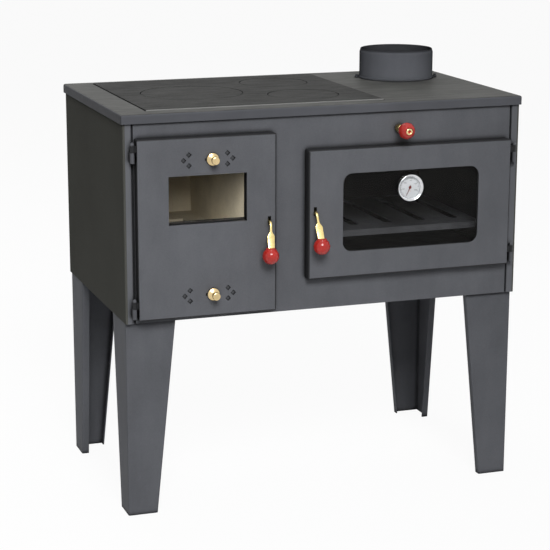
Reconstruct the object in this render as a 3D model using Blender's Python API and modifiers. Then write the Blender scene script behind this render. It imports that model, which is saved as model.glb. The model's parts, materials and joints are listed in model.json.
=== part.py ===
"""Wood-burning kitchen stove with a fire door, an oven door, a cast cooking plate and a flue collar.

Metres, +Z up, and the front faces -Y. The origin is on the floor, below the middle of the whole stove.
Every piece is drawn about the middle of the hob, and one empty moves them all back by half of what the
knobs reach out in front. Doors, latches, slides and lids hang on empties that stand on their joint axes.
"""

import math

import bmesh
import bpy
from mathutils import Matrix, Vector

# Clearances shared by every piece
GAP = 0.0003  # between pieces that touch
RUN = 0.0001  # between a pin and its bore, on the radius
SLIDE = 0.0005  # beside a piece that slides or turns
OVERRUN = 0.010  # how far a cutter stands out of what it cuts
SINK = 0.0010  # how far a welded piece is let into its carrier
WELD = 0.00001  # points nearer than this become one

# Casing
HOB_WIDTH = 0.790
HOB_DEPTH = 0.460
BODY_HEIGHT = 0.3855
HOB_SHEET = 0.003
HOB_LIP = 0.017
HOB_BEND = 0.0035
SIDE_OVERHANG = 0.0035
FRONT_OVERHANG = 0.0057
REAR_OVERHANG = 0.0048
SHEET = 0.002
SHEET_BEND = 0.0025
FRONT_SHEET = 0.003
STRIP_WIDTH = 0.016
STRIP_PROUD = 0.0018
STRIP_LEDGE = 0.010
FRONT_SEAM = 0.0035
REAR_FOLD = 0.022
BOTTOM_FLANGE = 0.018

# Legs
LEG_HEIGHT = 0.3742
LEG_SHEET = 0.0025
LEG_SETBACK = 0.0078
LEG_TOP_WIDTH = 0.096
LEG_FOOT_WIDTH = 0.057
LEG_LIP = 0.014
LEG_PLATE = 0.004
LEG_BOLT = 0.003
LEG_BOLT_HEAD = 0.005
LEG_BOLT_NEAR = 0.0285
LEG_BOLT_FAR = 0.062

# Doors
DOOR_DEPTH = 0.020
DOOR_SHEET = 0.002
DOOR_BEND = 0.0025
FIRE_INSET = 0.0215
FIRE_WIDTH = 0.2635
FIRE_FOOT = 0.0085
FIRE_DROP = 0.0407
DOOR_SPACING = 0.0625
OVEN_INSET = 0.0245
OVEN_FOOT = 0.0615
OVEN_DROP = 0.0767
ROPE_CHANNEL = 0.012
ROPE_CHANNEL_WALL = 0.0015
ROPE_CHANNEL_DEPTH = 0.013
ROPE_GROOVE_DEPTH = 0.005
ROPE_RADIUS = 0.0042
ROPE_CORNER = 0.012
GLASS = 0.004
GLASS_LAP = 0.009
GLASS_FRAME = 0.0015
GLASS_FRAME_LIP = 0.004
GLASS_CLIP = 0.002
GLASS_CLIP_HALF = 0.006
GLASS_CLIP_SHARE = 0.3

# Door windows and openings behind them
FIRE_LAP = 0.03345
FIRE_LAP_UP = 0.020
OVEN_LAP = 0.034
OVEN_LAP_UP = 0.030
FIRE_WINDOW_MARGIN = 0.0575
FIRE_WINDOW_DROP = 0.0281
FIRE_WINDOW_HEIGHT = 0.0895
FIRE_REVEAL = 0.012
FIRE_REVEAL_WALL = 0.002
OVEN_WINDOW_INSET_LEFT = 0.0685
OVEN_WINDOW_INSET_RIGHT = 0.066
OVEN_WINDOW_FOOT = 0.0485
OVEN_WINDOW_DROP = 0.047
OVEN_WINDOW_CORNER = 0.0185

# Hinges
HINGE_INSET = 0.0148
HINGE_STANDOFF = 0.012
HINGE_RADIUS = 0.0045
HINGE_PIN = 0.0025
HINGE_HEAD = 0.004
HINGE_HEAD_HEIGHT = 0.006
HINGE_TAB = 0.0125
HINGE_HEIGHT = 0.038
HINGE_TAB_THICK = 0.006
HINGE_LEAF_THICK = 0.0044
HINGE_LEAF_SHIFT = 0.001
FIRE_HINGE_DROP = 0.0045
FIRE_HINGE_RISE = 0.0408
OVEN_HINGE_DROP = 0.0071
OVEN_HINGE_RISE = 0.041

# Latches
LATCH_INSET = 0.0141
OVEN_LATCH_INSET = 0.0134
FIRE_LATCH_DROP = 0.005
OVEN_LATCH_RISE = 0.0107
LATCH_BEHIND_FACE = 0.0098
LATCH_PIN = 0.002
LATCH_LEAN = 0.005
LATCH_SLOT_HALF = 0.003
LATCH_SLOT_UP = 0.0105
LATCH_SLOT_DOWN = 0.0054
LATCH_EAR = 0.002
LATCH_EAR_UP = 0.013
LATCH_EAR_DOWN = 0.009
LATCH_EAR_BACK = 0.0046
LATCH_BASE = 0.002
KEEPER_SLOT_HALF = 0.006
KEEPER_SLOT_UP = 0.0044
KEEPER_SLOT_DOWN = 0.0125
BALL_RADIUS = 0.0155
BALL_DROP = 0.0598
BALL_STANDOFF = 0.022
BALL_COLLAR = 0.0085
BALL_COLLAR_HEIGHT = 0.0022
BALL_RECESS = 0.0055
BALL_RECESS_DEPTH = 0.003

LEVER_HOOK = 0.028
LEVER_ARM = 0.0046
LEVER_TALL = 0.008
LEVER_BLADE = 0.014
LEVER_SHEET = 0.0035

# Sections of a lever from its hook to its foot. The first two columns are shares of LEVER_HOOK behind
# the pivot and of LEVER_TALL above it, and the next two are shares of LEVER_ARM across and of LEVER_TALL
# up. In front of the pivot they are shares of LEVER_REACH, LEVER_DROP, LEVER_BLADE and
# LEVER_SHEET, with the turn in degrees of the way that the lever runs: 0 is out to the front, 90 down.
HOOK_SHARES = (
    (1.0, -0.06, 0.65, 0.75),
    (0.93, 0.0, 1.0, 1.0),
    (0.59, 0.0, 1.0, 1.0),
    (0.535, -0.11, 1.0, 0.775),
    (0.285, -0.11, 1.0, 0.775),
    (0.195, 0.0, 1.0, 1.06),
    (-0.195, 0.0, 1.0, 1.06),
    (-0.27, 0.0, 1.0, 0.975),
)
BLADE_SHARES = (
    (0.377, 0.005, 5, 0.307, 2.1),
    (0.503, 0.049, 40, 0.307, 1.77),
    (0.591, 0.158, 70, 0.307, 1.43),
    (0.667, 0.338, 76, 0.32, 1.14),
    (0.698, 0.428, 78, 0.547, 1.03),
    (0.742, 0.542, 78, 1.0, 0.97),
    (0.85, 0.76, 76, 0.973, 0.97),
    (1.0, 1.0, 90, 0.893, 0.97),
)

# Air controls on the fire door
AIR_TOP_MARGIN = 0.0014
AIR_FOOT_MARGIN = 0.0007
AIR_SHIFT = 0.0008
AIR_KNOB_SHIFT = 0.008
AIR_HOLE_HALF = 0.0055
AIR_HOLE_NEAR = 0.0365
AIR_HOLE_FAR = 0.0465
AIR_HOLE_ROW = 0.010
AIR_TRAVEL = 0.012
AIR_PLATE_MARGIN = 0.0035
AIR_PLATE_TALL_HALF = 0.0165
AIR_PLATE = 0.002
AIR_RAIL = 0.003
AIR_RAIL_LAP = 0.0015
AIR_RAIL_LIP = 0.0015
AIR_SPINDLE = 0.002
AIR_DISC = 0.0115
AIR_DISC_THICK = 0.003
AIR_NECK = 0.0042
AIR_NECK_FROM = 0.006
AIR_CAP = 0.0075
AIR_CAP_FROM = 0.0145
AIR_CAP_EDGE = 0.0022
AIR_REACH = 0.0225

# Thermometer
GAUGE_SHIFT = -0.0042
GAUGE_DROP = 0.0331
GAUGE_RADIUS = 0.0255
GAUGE_DEPTH = 0.0115
GAUGE_RIM = 0.0055
GAUGE_LIP = 0.0015
GAUGE_FUNNEL = 0.0027
GAUGE_DIAL_FROM = 0.005
GAUGE_STEM = 0.003
GAUGE_STEM_LENGTH = 0.045
GAUGE_POST = 0.001
GAUGE_POST_HEIGHT = 0.0008
GAUGE_LENS = 0.001
NEEDLE_LENGTH = 0.0164
NEEDLE_TAIL = 0.004
NEEDLE_WIDTH = 0.0018
NEEDLE_TIP = 0.0006
NEEDLE_THICK = 0.0006
NEEDLE_HUB = 0.0026
NEEDLE_REST = 205.0

# Damper and flue
DAMPER_TO_PLATE = 0.0175
DAMPER_DROP = 0.0469
DAMPER_ROD = 0.004
DAMPER_BALL_REACH = 0.038
KNOB_FLAT_TURN = 65.0
DAMPER_PLATE = 0.003
DAMPER_PLATE_SET = 0.0035
DAMPER_PLATE_LEAD = 0.078
DAMPER_PLATE_LENGTH = 0.096
DAMPER_PLATE_HALF = 0.0335
DAMPER_PORT_HALF = 0.027
DAMPER_PORT_MARGIN = 0.008
FERRULE_RADIUS = 0.0082
FERRULE_LENGTH = 0.015
FERRULE_WALL = 0.0025
FLUE_WALL = 0.003
FLUE_RAIL = 0.0025
FLUE_RAIL_LIP = 0.005
FLUE_WALL_REAR_GAP = 0.002
COLLAR_INSET = 0.118
COLLAR_INSET_REAR = 0.120
COLLAR_RADIUS = 0.075
COLLAR_WALL = 0.003
COLLAR_HEIGHT = 0.060
COLLAR_TAPER = 0.0018
COLLAR_TAPER_HEIGHT = 0.006
COLLAR_FOOT = 0.0025
COLLAR_FOOT_HEIGHT = 0.003
COLLAR_LUG = 0.0095
COLLAR_LUG_HALF = 0.007
COLLAR_BOLT = 0.003
COLLAR_BOLT_HEIGHT = 0.0035
COLLAR_LUG_TURNS = (165.0, -15.0)

# Cooking plate and lids
COOK_INSET = 0.057
COOK_INSET_FRONT = 0.038
COOK_INSET_REAR = 0.023
COOK_TO_COLLAR = 0.077
COOK_THICK = 0.010
COOK_RISE = 0.0015
COOK_GAP = 0.002
COOK_EDGE = 0.0009
COOK_SEAT = 0.012
COOK_SEAT_WALL = 0.003
COOK_SEAT_THICK = 0.003
COOK_RIB = 0.006
COOK_RIB_DEPTH = 0.008
LID_REBATE = 0.006
LID_THICK = 0.009
LID_STEP = 0.0045
LID_GAP = 0.0015
LID_EDGE = 0.0008

# Each lid's middle as shares of the cooking plate's length and depth, and its radius as one of the shorter
LID_SHARES = {
    "large_lid": (0.313, 0.495, 0.2456),
    "rear_lid": (0.745, 0.737, 0.1692),
    "front_lid": (0.737, 0.273, 0.1692),
}

# Fire chamber
CHAMBER_STEP = 0.005
CHAMBER_REAR_SPACE = 0.0502
CHAMBER_SET = 0.021
BRICK = 0.025
BRICK_DROP = 0.010
BRICK_EDGE = 0.0015
FIREBOX_SHEET = 0.003
FIREBOX_RIM = 0.001
SHELF_RISE = 0.067
SHELF_THICK = 0.003
GRATE_HALF = 0.0525
GRATE_SPACE_FRONT = 0.0803
GRATE_SPACE_REAR = 0.075
GRATE_THICK = 0.020
GRATE_LAP = 0.008
GRATE_SLOTS = 7
GRATE_SLOT = 0.0075
GRATE_RIM = 0.011
GUARD_HEIGHT = 0.0577
GUARD_THICK = 0.003
GUARD_FOLD = 0.006
ASH_CLEAR = 0.0083
ASH_SETBACK = 0.0163
ASH_SPACE_REAR = 0.025
ASH_HEIGHT = 0.052
ASH_SHEET = 0.0015
ASH_PULL_HALF = 0.030
ASH_PULL_REACH = 0.0025
ASH_PULL_DROP = 0.010

# Oven
OVEN_SHEET = 0.0025
OVEN_SPACE_REAR = 0.1147
RACK_RISE = 0.049
RACK_SHEET = 0.002
RACK_LIP = 0.012
RACK_SETBACK = 0.0213
RACK_SPACE_REAR = 0.0205
RACK_CLEAR = 0.003
RACK_SLOT_MARGIN = 0.017
RACK_SLOT_SHIFT = -0.006
RACK_SLOT_PITCH = 0.070
RACK_SLOT_HALF = 0.0095
RACK_SLOT_FRONT = 0.044
RACK_SLOT_REAR = 0.018
RUNNER_WIDTH = 0.012
RUNNER_THICK = 0.0025

# Places that follow from the sizes above, up and down
BODY_BOTTOM = LEG_HEIGHT + GAP
LEG_TOP = LEG_HEIGHT
HOB_TOP = BODY_BOTTOM + BODY_HEIGHT
PANEL_TOP = HOB_TOP - HOB_SHEET - GAP
FIRE_BOTTOM = BODY_BOTTOM + FIRE_FOOT
FIRE_TOP = PANEL_TOP - FIRE_DROP
OVEN_BOTTOM = BODY_BOTTOM + OVEN_FOOT
OVEN_TOP = PANEL_TOP - OVEN_DROP
FIRE_MOUTH_BOTTOM = FIRE_BOTTOM + FIRE_LAP_UP
FIRE_MOUTH_TOP = FIRE_TOP - FIRE_LAP_UP
OVEN_MOUTH_BOTTOM = OVEN_BOTTOM + OVEN_LAP_UP
OVEN_MOUTH_TOP = OVEN_TOP - OVEN_LAP_UP
AIR_RAIL_REACH = AIR_PLATE_TALL_HALF + SLIDE + AIR_RAIL
UPPER_AIR_HEIGHT = FIRE_MOUTH_TOP - AIR_TOP_MARGIN - AIR_RAIL_REACH
LOWER_AIR_HEIGHT = FIRE_MOUTH_BOTTOM + AIR_FOOT_MARGIN + AIR_RAIL_REACH
FIRE_WINDOW_TOP = UPPER_AIR_HEIGHT - FIRE_WINDOW_DROP
FIRE_WINDOW_BOTTOM = FIRE_WINDOW_TOP - FIRE_WINDOW_HEIGHT
OVEN_WINDOW_BOTTOM = OVEN_BOTTOM + OVEN_WINDOW_FOOT
OVEN_WINDOW_TOP = OVEN_TOP - OVEN_WINDOW_DROP
FIRE_HINGE_TOPS = (FIRE_TOP - FIRE_HINGE_DROP, FIRE_BOTTOM + FIRE_HINGE_RISE)
OVEN_HINGE_TOPS = (OVEN_TOP - OVEN_HINGE_DROP, OVEN_BOTTOM + OVEN_HINGE_RISE)
FIRE_LATCH_HEIGHT = FIRE_WINDOW_BOTTOM - FIRE_LATCH_DROP
OVEN_LATCH_HEIGHT = FIRE_LATCH_HEIGHT + OVEN_LATCH_RISE
GAUGE_HEIGHT = OVEN_WINDOW_TOP - GAUGE_DROP
DAMPER_HEIGHT = PANEL_TOP - DAMPER_DROP
FIREBOX_TOP = FIRE_MOUTH_TOP + FIREBOX_SHEET + FIREBOX_RIM
BRICK_TOP = FIREBOX_TOP - BRICK_DROP
SHELF_TOP = FIRE_MOUTH_BOTTOM + SHELF_RISE
FLOOR_TOP = SHELF_TOP + GAP + BRICK
GUARD_TOP = FLOOR_TOP + GUARD_HEIGHT
OVEN_BOX_TOP = OVEN_MOUTH_TOP + OVEN_SHEET
RACK_TOP = OVEN_MOUTH_BOTTOM + RACK_RISE
COOK_SEAT_TOP = HOB_TOP + COOK_RISE - COOK_THICK - GAP

# Left and right
SIDE_X = HOB_WIDTH / 2 - SIDE_OVERHANG
FIRE_LEFT = FIRE_INSET - SIDE_X
FIRE_RIGHT = FIRE_LEFT + FIRE_WIDTH
FIRE_CENTRE = (FIRE_LEFT + FIRE_RIGHT) / 2
FIRE_MOUTH_HALF = FIRE_WIDTH / 2 - FIRE_LAP
FIRE_WINDOW_LEFT = FIRE_LEFT + FIRE_WINDOW_MARGIN
FIRE_WINDOW_RIGHT = FIRE_RIGHT - FIRE_WINDOW_MARGIN
OVEN_LEFT = FIRE_RIGHT + DOOR_SPACING
OVEN_RIGHT = SIDE_X - OVEN_INSET
OVEN_CENTRE = (OVEN_LEFT + OVEN_RIGHT) / 2
OVEN_MOUTH_HALF = (OVEN_RIGHT - OVEN_LEFT) / 2 - OVEN_LAP
OVEN_WINDOW_LEFT = OVEN_LEFT + OVEN_WINDOW_INSET_LEFT
OVEN_WINDOW_RIGHT = OVEN_RIGHT - OVEN_WINDOW_INSET_RIGHT
HINGE_X = SIDE_X - HINGE_INSET
FIRE_LATCH_X = FIRE_RIGHT - LATCH_INSET
OVEN_LATCH_X = OVEN_LEFT + OVEN_LATCH_INSET
AIR_CENTRE = FIRE_CENTRE + AIR_SHIFT
AIR_KNOB_X = AIR_CENTRE + AIR_KNOB_SHIFT
AIR_HOLE_PLACES = ((AIR_HOLE_NEAR, AIR_HOLE_ROW), (AIR_HOLE_NEAR, -AIR_HOLE_ROW), (AIR_HOLE_FAR, 0.0))
GAUGE_X = OVEN_CENTRE + GAUGE_SHIFT
COLLAR_X = HOB_WIDTH / 2 - COLLAR_INSET
COOK_LEFT = COOK_INSET - HOB_WIDTH / 2
COOK_RIGHT = COLLAR_X - COLLAR_RADIUS - COOK_TO_COLLAR
DAMPER_X = COOK_RIGHT + DAMPER_TO_PLATE
CHAMBER_HALF = FIRE_MOUTH_HALF - CHAMBER_STEP
FIREBOX_INNER = CHAMBER_HALF + BRICK + GAP
FIREBOX_OUTER = FIREBOX_INNER + FIREBOX_SHEET
ASH_HALF = FIRE_MOUTH_HALF - ASH_CLEAR

# Front and back
HOB_FRONT = -HOB_DEPTH / 2
PANEL_FRONT = HOB_FRONT + FRONT_OVERHANG
PANEL_BACK = PANEL_FRONT + FRONT_SHEET
STRIP_FACE = PANEL_FRONT - STRIP_PROUD
LEDGE_FACE = PANEL_BACK + GAP
PANEL_REAR = HOB_DEPTH / 2 - REAR_OVERHANG
DOOR_BACK = PANEL_FRONT - GAP
DOOR_FACE = PANEL_FRONT - DOOR_DEPTH
DOOR_SKIN = DOOR_FACE + DOOR_SHEET
HINGE_Y = PANEL_FRONT - HINGE_STANDOFF
LATCH_Y = DOOR_FACE + LATCH_BEHIND_FACE
BALL_Y = DOOR_FACE - BALL_STANDOFF
REACH = HOB_FRONT - (BALL_Y - BALL_RADIUS)
BALL_MOUTH = math.sqrt(BALL_RADIUS**2 - BALL_RECESS**2)
BALL_SEAT = math.sqrt(BALL_RADIUS**2 - BALL_COLLAR**2) + BALL_COLLAR_HEIGHT
LEVER_REACH = LATCH_BEHIND_FACE + BALL_STANDOFF
LEVER_DROP = BALL_DROP - BALL_SEAT - GAP
KNOB_BACK = BALL_RADIUS * math.sin(math.radians(KNOB_FLAT_TURN))
COLLAR_Y = HOB_DEPTH / 2 - COLLAR_INSET_REAR
COOK_FRONT = HOB_FRONT + COOK_INSET_FRONT
COOK_REAR = HOB_DEPTH / 2 - COOK_INSET_REAR
DAMPER_PLATE_FRONT = COLLAR_Y - DAMPER_PLATE_LEAD
CHAMBER_FRONT = PANEL_BACK + CHAMBER_SET
CHAMBER_REAR = PANEL_REAR - CHAMBER_REAR_SPACE
GRATE_FRONT = CHAMBER_FRONT + GRATE_SPACE_FRONT
GRATE_REAR = CHAMBER_REAR - GRATE_SPACE_REAR
ASH_FRONT = PANEL_BACK + ASH_SETBACK
ASH_REAR = CHAMBER_REAR - ASH_SPACE_REAR
OVEN_REAR = PANEL_REAR - OVEN_SPACE_REAR
RACK_FRONT = PANEL_BACK + RACK_SETBACK
RACK_REAR = OVEN_REAR - RACK_SPACE_REAR

WIDE_STEPS = 40
TURNED_STEPS = 28
KNOB_STEPS = 20
PIN_SIDES = 12
BOLT_SIDES = 6


def clear_scene():
    """Starts from an empty scene."""
    for obj in list(bpy.data.objects):
        bpy.data.objects.remove(obj)


def collection(name):
    group = bpy.data.collections.new(name)
    bpy.context.scene.collection.children.link(group)
    return group


def material(name, colour, roughness, metallic):
    """A Principled material of one colour."""
    look = bpy.data.materials.new(name)
    look.use_nodes = True
    shader = look.node_tree.nodes["Principled BSDF"]
    shader.inputs["Base Color"].default_value = (*colour, 1)
    shader.inputs["Roughness"].default_value = roughness
    shader.inputs["Metallic"].default_value = metallic
    look.diffuse_color = (*colour, 1)
    return look


clear_scene()
STOVE = collection("wood_burning_stove")
TOOLS = collection("cutters_and_joined_shapes")
TOOLS.hide_render = True

PAINT = material("anthracite_paint", (0.115, 0.117, 0.125), 0.42, 0.1)
HOB_PAINT = material("hob_black", (0.07, 0.07, 0.068), 0.5, 0.3)
CAST_IRON = material("cast_iron", (0.055, 0.055, 0.053), 0.62, 0.5)
STEEL = material("black_steel", (0.03, 0.03, 0.032), 0.6, 0.5)
FIRECLAY = material("fireclay", (0.42, 0.37, 0.27), 0.9, 0.0)
GLASS_LOOK = material("ceramic_glass", (0.05, 0.045, 0.04), 0.05, 0.0)
ROPE_LOOK = material("seal_rope", (0.2, 0.2, 0.19), 0.95, 0.0)
BRASS = material("brass", (0.72, 0.55, 0.22), 0.22, 1.0)
RED = material("red_ball_plastic", (0.55, 0.045, 0.03), 0.18, 0.0)
CHROME = material("bright_steel", (0.75, 0.75, 0.74), 0.15, 1.0)
DIAL = material("needle_red", (0.35, 0.03, 0.02), 0.5, 0.0)


def empty(name, place, parent=None):
    """A pivot: an empty that stands on a joint's axis, in the hob's coordinates."""
    pivot = bpy.data.objects.new(name, None)
    pivot.location = place
    if parent is not None:
        pivot.parent = parent
        pivot.location = Vector(place) - pivot_place(parent)
    STOVE.objects.link(pivot)
    return pivot


def pivot_place(pivot):
    """Where a pivot stands in the hob's coordinates."""
    place = Vector((0, 0, 0))
    while pivot is not ORIGIN:
        place += pivot.location
        pivot = pivot.parent
    return place


ORIGIN = bpy.data.objects.new("stove_origin", None)
ORIGIN.location = (0, REACH / 2, 0)
STOVE.objects.link(ORIGIN)


def place_in(obj, group, pivot):
    group.objects.link(obj)
    obj.parent = pivot
    obj.location = Vector(obj.location) - pivot_place(pivot)
    return obj


def block(low, high):
    """A closed box between two corners."""
    shape = bmesh.new()
    size = Vector(high) - Vector(low)
    middle = (Vector(high) + Vector(low)) / 2
    bmesh.ops.create_cube(shape, size=1, matrix=Matrix.LocRotScale(middle, None, size))
    return shape


def rod(start, end, radius, sides=PIN_SIDES):
    """A closed cylinder between two points."""
    shape = bmesh.new()
    way = Vector(end) - Vector(start)
    middle = (Vector(end) + Vector(start)) / 2
    turn = way.to_track_quat("Z", "Y")
    bmesh.ops.create_cone(
        shape,
        cap_ends=True,
        segments=sides,
        radius1=radius,
        radius2=radius,
        depth=way.length,
        matrix=Matrix.LocRotScale(middle, turn, None),
    )
    return shape


def rectangle(left, right, bottom, top):
    return [(left, bottom), (right, bottom), (right, top), (left, top)]


def rounded(left, right, bottom, top, radius, steps=6):
    """A rectangle whose corners are quarter circles."""
    centres = (
        (right - radius, bottom + radius, 270),
        (right - radius, top - radius, 0),
        (left + radius, top - radius, 90),
        (left + radius, bottom + radius, 180),
    )
    points = []
    for x, y, start in centres:
        for step in range(steps + 1):
            angle = math.radians(start + 90 * step / steps)
            points.append((x + radius * math.cos(angle), y + radius * math.sin(angle)))
    return points


def diamond(x, y, half):
    return [(x - half, y), (x, y - half), (x + half, y), (x, y + half)]


PLANES = {
    "XY": Matrix.Identity(4),
    "XZ": Matrix(((1, 0, 0, 0), (0, 0, -1, 0), (0, 1, 0, 0), (0, 0, 0, 1))),
    "YZ": Matrix(((0, 0, 1, 0), (1, 0, 0, 0), (0, 1, 0, 0), (0, 0, 0, 1))),
}


def slab(outlines, low, high, plane="XY"):
    """A flat plate with holes: the outlines of a filled 2D curve, between two heights over its plane."""
    flat = bpy.data.curves.new("outline", "CURVE")
    flat.dimensions = "2D"
    flat.fill_mode = "BOTH"
    flat.extrude = (high - low) / 2
    for outline in outlines:
        spline = flat.splines.new("POLY")
        spline.points.add(len(outline) - 1)
        for point, (x, y) in zip(spline.points, outline):
            point.co = (x, y, 0, 1)
        spline.use_cyclic_u = True
    guide = bpy.data.objects.new("outline", flat)
    TOOLS.objects.link(guide)
    graph = bpy.context.evaluated_depsgraph_get()
    mesh = bpy.data.meshes.new_from_object(guide.evaluated_get(graph))
    shape = bmesh.new()
    shape.from_mesh(mesh)
    bmesh.ops.remove_doubles(shape, verts=shape.verts, dist=WELD)
    middle = (high + low) / 2
    lift = Matrix.Translation(Vector((0, 0, middle if plane != "XZ" else -middle)))
    shape.transform(PLANES[plane] @ lift)
    bmesh.ops.recalc_face_normals(shape, faces=shape.faces)
    bpy.data.objects.remove(guide)
    bpy.data.curves.remove(flat)
    bpy.data.meshes.remove(mesh)
    return shape


def mesh_of(name, shapes):
    """One mesh that holds several closed shapes which don't meet."""
    whole = bmesh.new()
    for shape in shapes:
        part = bpy.data.meshes.new(name)
        shape.to_mesh(part)
        shape.free()
        whole.from_mesh(part)
        bpy.data.meshes.remove(part)
    mesh = bpy.data.meshes.new(name)
    whole.to_mesh(mesh)
    whole.free()
    return mesh


def piece(name, shapes, look, pivot=ORIGIN):
    """A named piece of the stove, hung on its pivot."""
    obj = bpy.data.objects.new(name, mesh_of(name, shapes))
    obj.data.materials.append(look)
    return place_in(obj, STOVE, pivot)


def tool(obj, shapes, operation):
    """A hidden shape that a Boolean joins to the piece or cuts from it, moving with it."""
    name = f"{obj.name}_{operation.lower()}_{len(obj.modifiers)}"
    helper = bpy.data.objects.new(name, mesh_of(name, shapes))
    helper.display_type = "WIRE"
    helper.hide_render = True
    place_in(helper, TOOLS, obj.parent)
    change = obj.modifiers.new(name, "BOOLEAN")
    change.operation = operation
    change.object = helper


def join(obj, *shapes):
    tool(obj, shapes, "UNION")


def cut(obj, *shapes):
    tool(obj, shapes, "DIFFERENCE")


def bevel(obj, width, segments=2, angle=40):
    rounding = obj.modifiers.new("edges", "BEVEL")
    rounding.width = width
    rounding.segments = segments
    rounding.limit_method = "ANGLE"
    rounding.angle_limit = math.radians(angle)
    rounding.use_clamp_overlap = True
    return obj


def solidify(obj, thickness):
    """Thickens an open surface inwards."""
    wall = obj.modifiers.new("sheet", "SOLIDIFY")
    wall.thickness = thickness
    wall.offset = -1
    wall.use_even_offset = True
    return obj


def pan(name, low, high, open_side, thickness, bend, look, pivot=ORIGIN):
    """A box folded from sheet, open on the side that open_side points to."""
    shape = block(low, high)
    way = Vector(open_side)
    face = max(shape.faces, key=lambda side: side.normal.dot(way))
    bmesh.ops.delete(shape, geom=[face], context="FACES")
    obj = piece(name, [shape], look, pivot)
    bevel(obj, bend)
    solidify(obj, thickness)
    return obj


def folded(name, line, low, high, thickness, bend, look):
    """A sheet folded along a plan line, whose outside is on the line's right."""
    shape = bmesh.new()
    bottom = [shape.verts.new((x, y, low)) for x, y in line]
    top = [shape.verts.new((x, y, high)) for x, y in line]
    for index in range(len(line) - 1):
        shape.faces.new((bottom[index], bottom[index + 1], top[index + 1], top[index]))
    obj = piece(name, [shape], look)
    bevel(obj, bend)
    solidify(obj, thickness)
    return obj


def turned(name, profile, look, place, pivot=ORIGIN, turn=(0, 0, 0), steps=TURNED_STEPS):
    """A profile of (radius, height) points, from top to bottom, spun about its Z axis."""
    mesh = bpy.data.meshes.new(name)
    points = [(radius, 0, height) for radius, height in profile]
    mesh.from_pydata(points, [(index, index + 1) for index in range(len(points) - 1)], [])
    obj = bpy.data.objects.new(name, mesh)
    obj.data.materials.append(look)
    obj.location = place
    obj.rotation_euler = turn
    spin = obj.modifiers.new("turned", "SCREW")
    spin.axis = "Z"
    spin.steps = steps
    spin.render_steps = steps
    spin.use_merge_vertices = True
    spin.merge_threshold = WELD
    spin.use_smooth_shade = True
    return place_in(obj, STOVE, pivot)


def ring_profile(profile):
    """Closes a turned profile that doesn't touch its axis."""
    return profile + [profile[0]]


def arc(centre_radius, centre_height, radius, start, end, steps):
    """Points of a profile along an arc, from one angle over the radius to another."""
    points = []
    for step in range(steps + 1):
        angle = math.radians(start + (end - start) * step / steps)
        points.append((centre_radius + radius * math.cos(angle), centre_height + radius * math.sin(angle)))
    return points


def mirrored(side, points):
    """The points of one side, or those of the other side run the other way."""
    if side < 0:
        return points
    return [(-x, y) for x, y in reversed(points)]


FACING_FRONT = (math.pi / 2, 0, 0)


def make_casing():
    """Side sheets folded into corner strips with a ledge behind the front sheet, front, back and bottom."""
    for name, side in (("left_side_panel", -1), ("right_side_panel", 1)):
        line = [
            (-(SIDE_X - REAR_FOLD), PANEL_REAR),
            (-SIDE_X, PANEL_REAR),
            (-SIDE_X, STRIP_FACE),
            (-(SIDE_X - STRIP_WIDTH), STRIP_FACE),
            (-(SIDE_X - STRIP_WIDTH), LEDGE_FACE),
            (-(SIDE_X - STRIP_WIDTH - STRIP_LEDGE), LEDGE_FACE),
        ]
        folded(name, mirrored(side, line), BODY_BOTTOM, PANEL_TOP, SHEET, SHEET_BEND, PAINT)
    make_front_panel()
    make_back_panel()
    inner = SIDE_X - SHEET - GAP
    bottom = pan(
        "bottom_panel",
        (-inner, LEDGE_FACE + SHEET + GAP, BODY_BOTTOM),
        (inner, PANEL_REAR - SHEET - SHEET - GAP - GAP, BODY_BOTTOM + BOTTOM_FLANGE),
        (0, 0, 1),
        SHEET,
        SHEET_BEND,
        PAINT,
    )
    cut(bottom, *leg_bolt_holes())


def make_front_panel():
    """Front sheet between the corner strips, with both mouths, the latch slots and the damper hole."""
    edge = SIDE_X - STRIP_WIDTH - FRONT_SEAM
    outlines = [
        rectangle(-edge, edge, BODY_BOTTOM, PANEL_TOP),
        rectangle(
            FIRE_CENTRE - FIRE_MOUTH_HALF,
            FIRE_CENTRE + FIRE_MOUTH_HALF,
            FIRE_MOUTH_BOTTOM,
            FIRE_MOUTH_TOP,
        ),
        rectangle(
            OVEN_CENTRE - OVEN_MOUTH_HALF,
            OVEN_CENTRE + OVEN_MOUTH_HALF,
            OVEN_MOUTH_BOTTOM,
            OVEN_MOUTH_TOP,
        ),
    ]
    for x, height in ((FIRE_LATCH_X, FIRE_LATCH_HEIGHT), (OVEN_LATCH_X, OVEN_LATCH_HEIGHT)):
        outlines.append(
            rectangle(
                x - KEEPER_SLOT_HALF,
                x + KEEPER_SLOT_HALF,
                height - KEEPER_SLOT_DOWN,
                height + KEEPER_SLOT_UP,
            )
        )
    panel = piece("front_panel", [slab(outlines, PANEL_FRONT, PANEL_BACK, "XZ")], PAINT)
    hole = DAMPER_ROD + FERRULE_WALL + GAP
    start = (DAMPER_X, PANEL_FRONT - OVERRUN, DAMPER_HEIGHT)
    end = (DAMPER_X, PANEL_BACK + OVERRUN, DAMPER_HEIGHT)
    cut(panel, rod(start, end, hole))


def make_back_panel():
    """Rear sheet inside the folds of the side sheets, stiffened by a pressed field."""
    edge = SIDE_X - SHEET - GAP
    face = PANEL_REAR - SHEET - GAP
    low = (-edge, face - SHEET, BODY_BOTTOM)
    high = (edge, face, PANEL_TOP)
    back = piece("back_panel", [block(low, high)], PAINT)
    field = SIDE_X - REAR_FOLD - REAR_FOLD
    press_low = BODY_BOTTOM + REAR_FOLD + BOTTOM_FLANGE
    press_high = PANEL_TOP - REAR_FOLD - HOB_LIP
    join(back, block((-field, face - SINK, press_low), (field, face + SHEET, press_high)))
    inner = field - SHEET
    cut(
        back,
        block(
            (-inner, face - SHEET - OVERRUN, press_low + SHEET),
            (inner, face, press_high - SHEET),
        ),
    )


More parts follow.
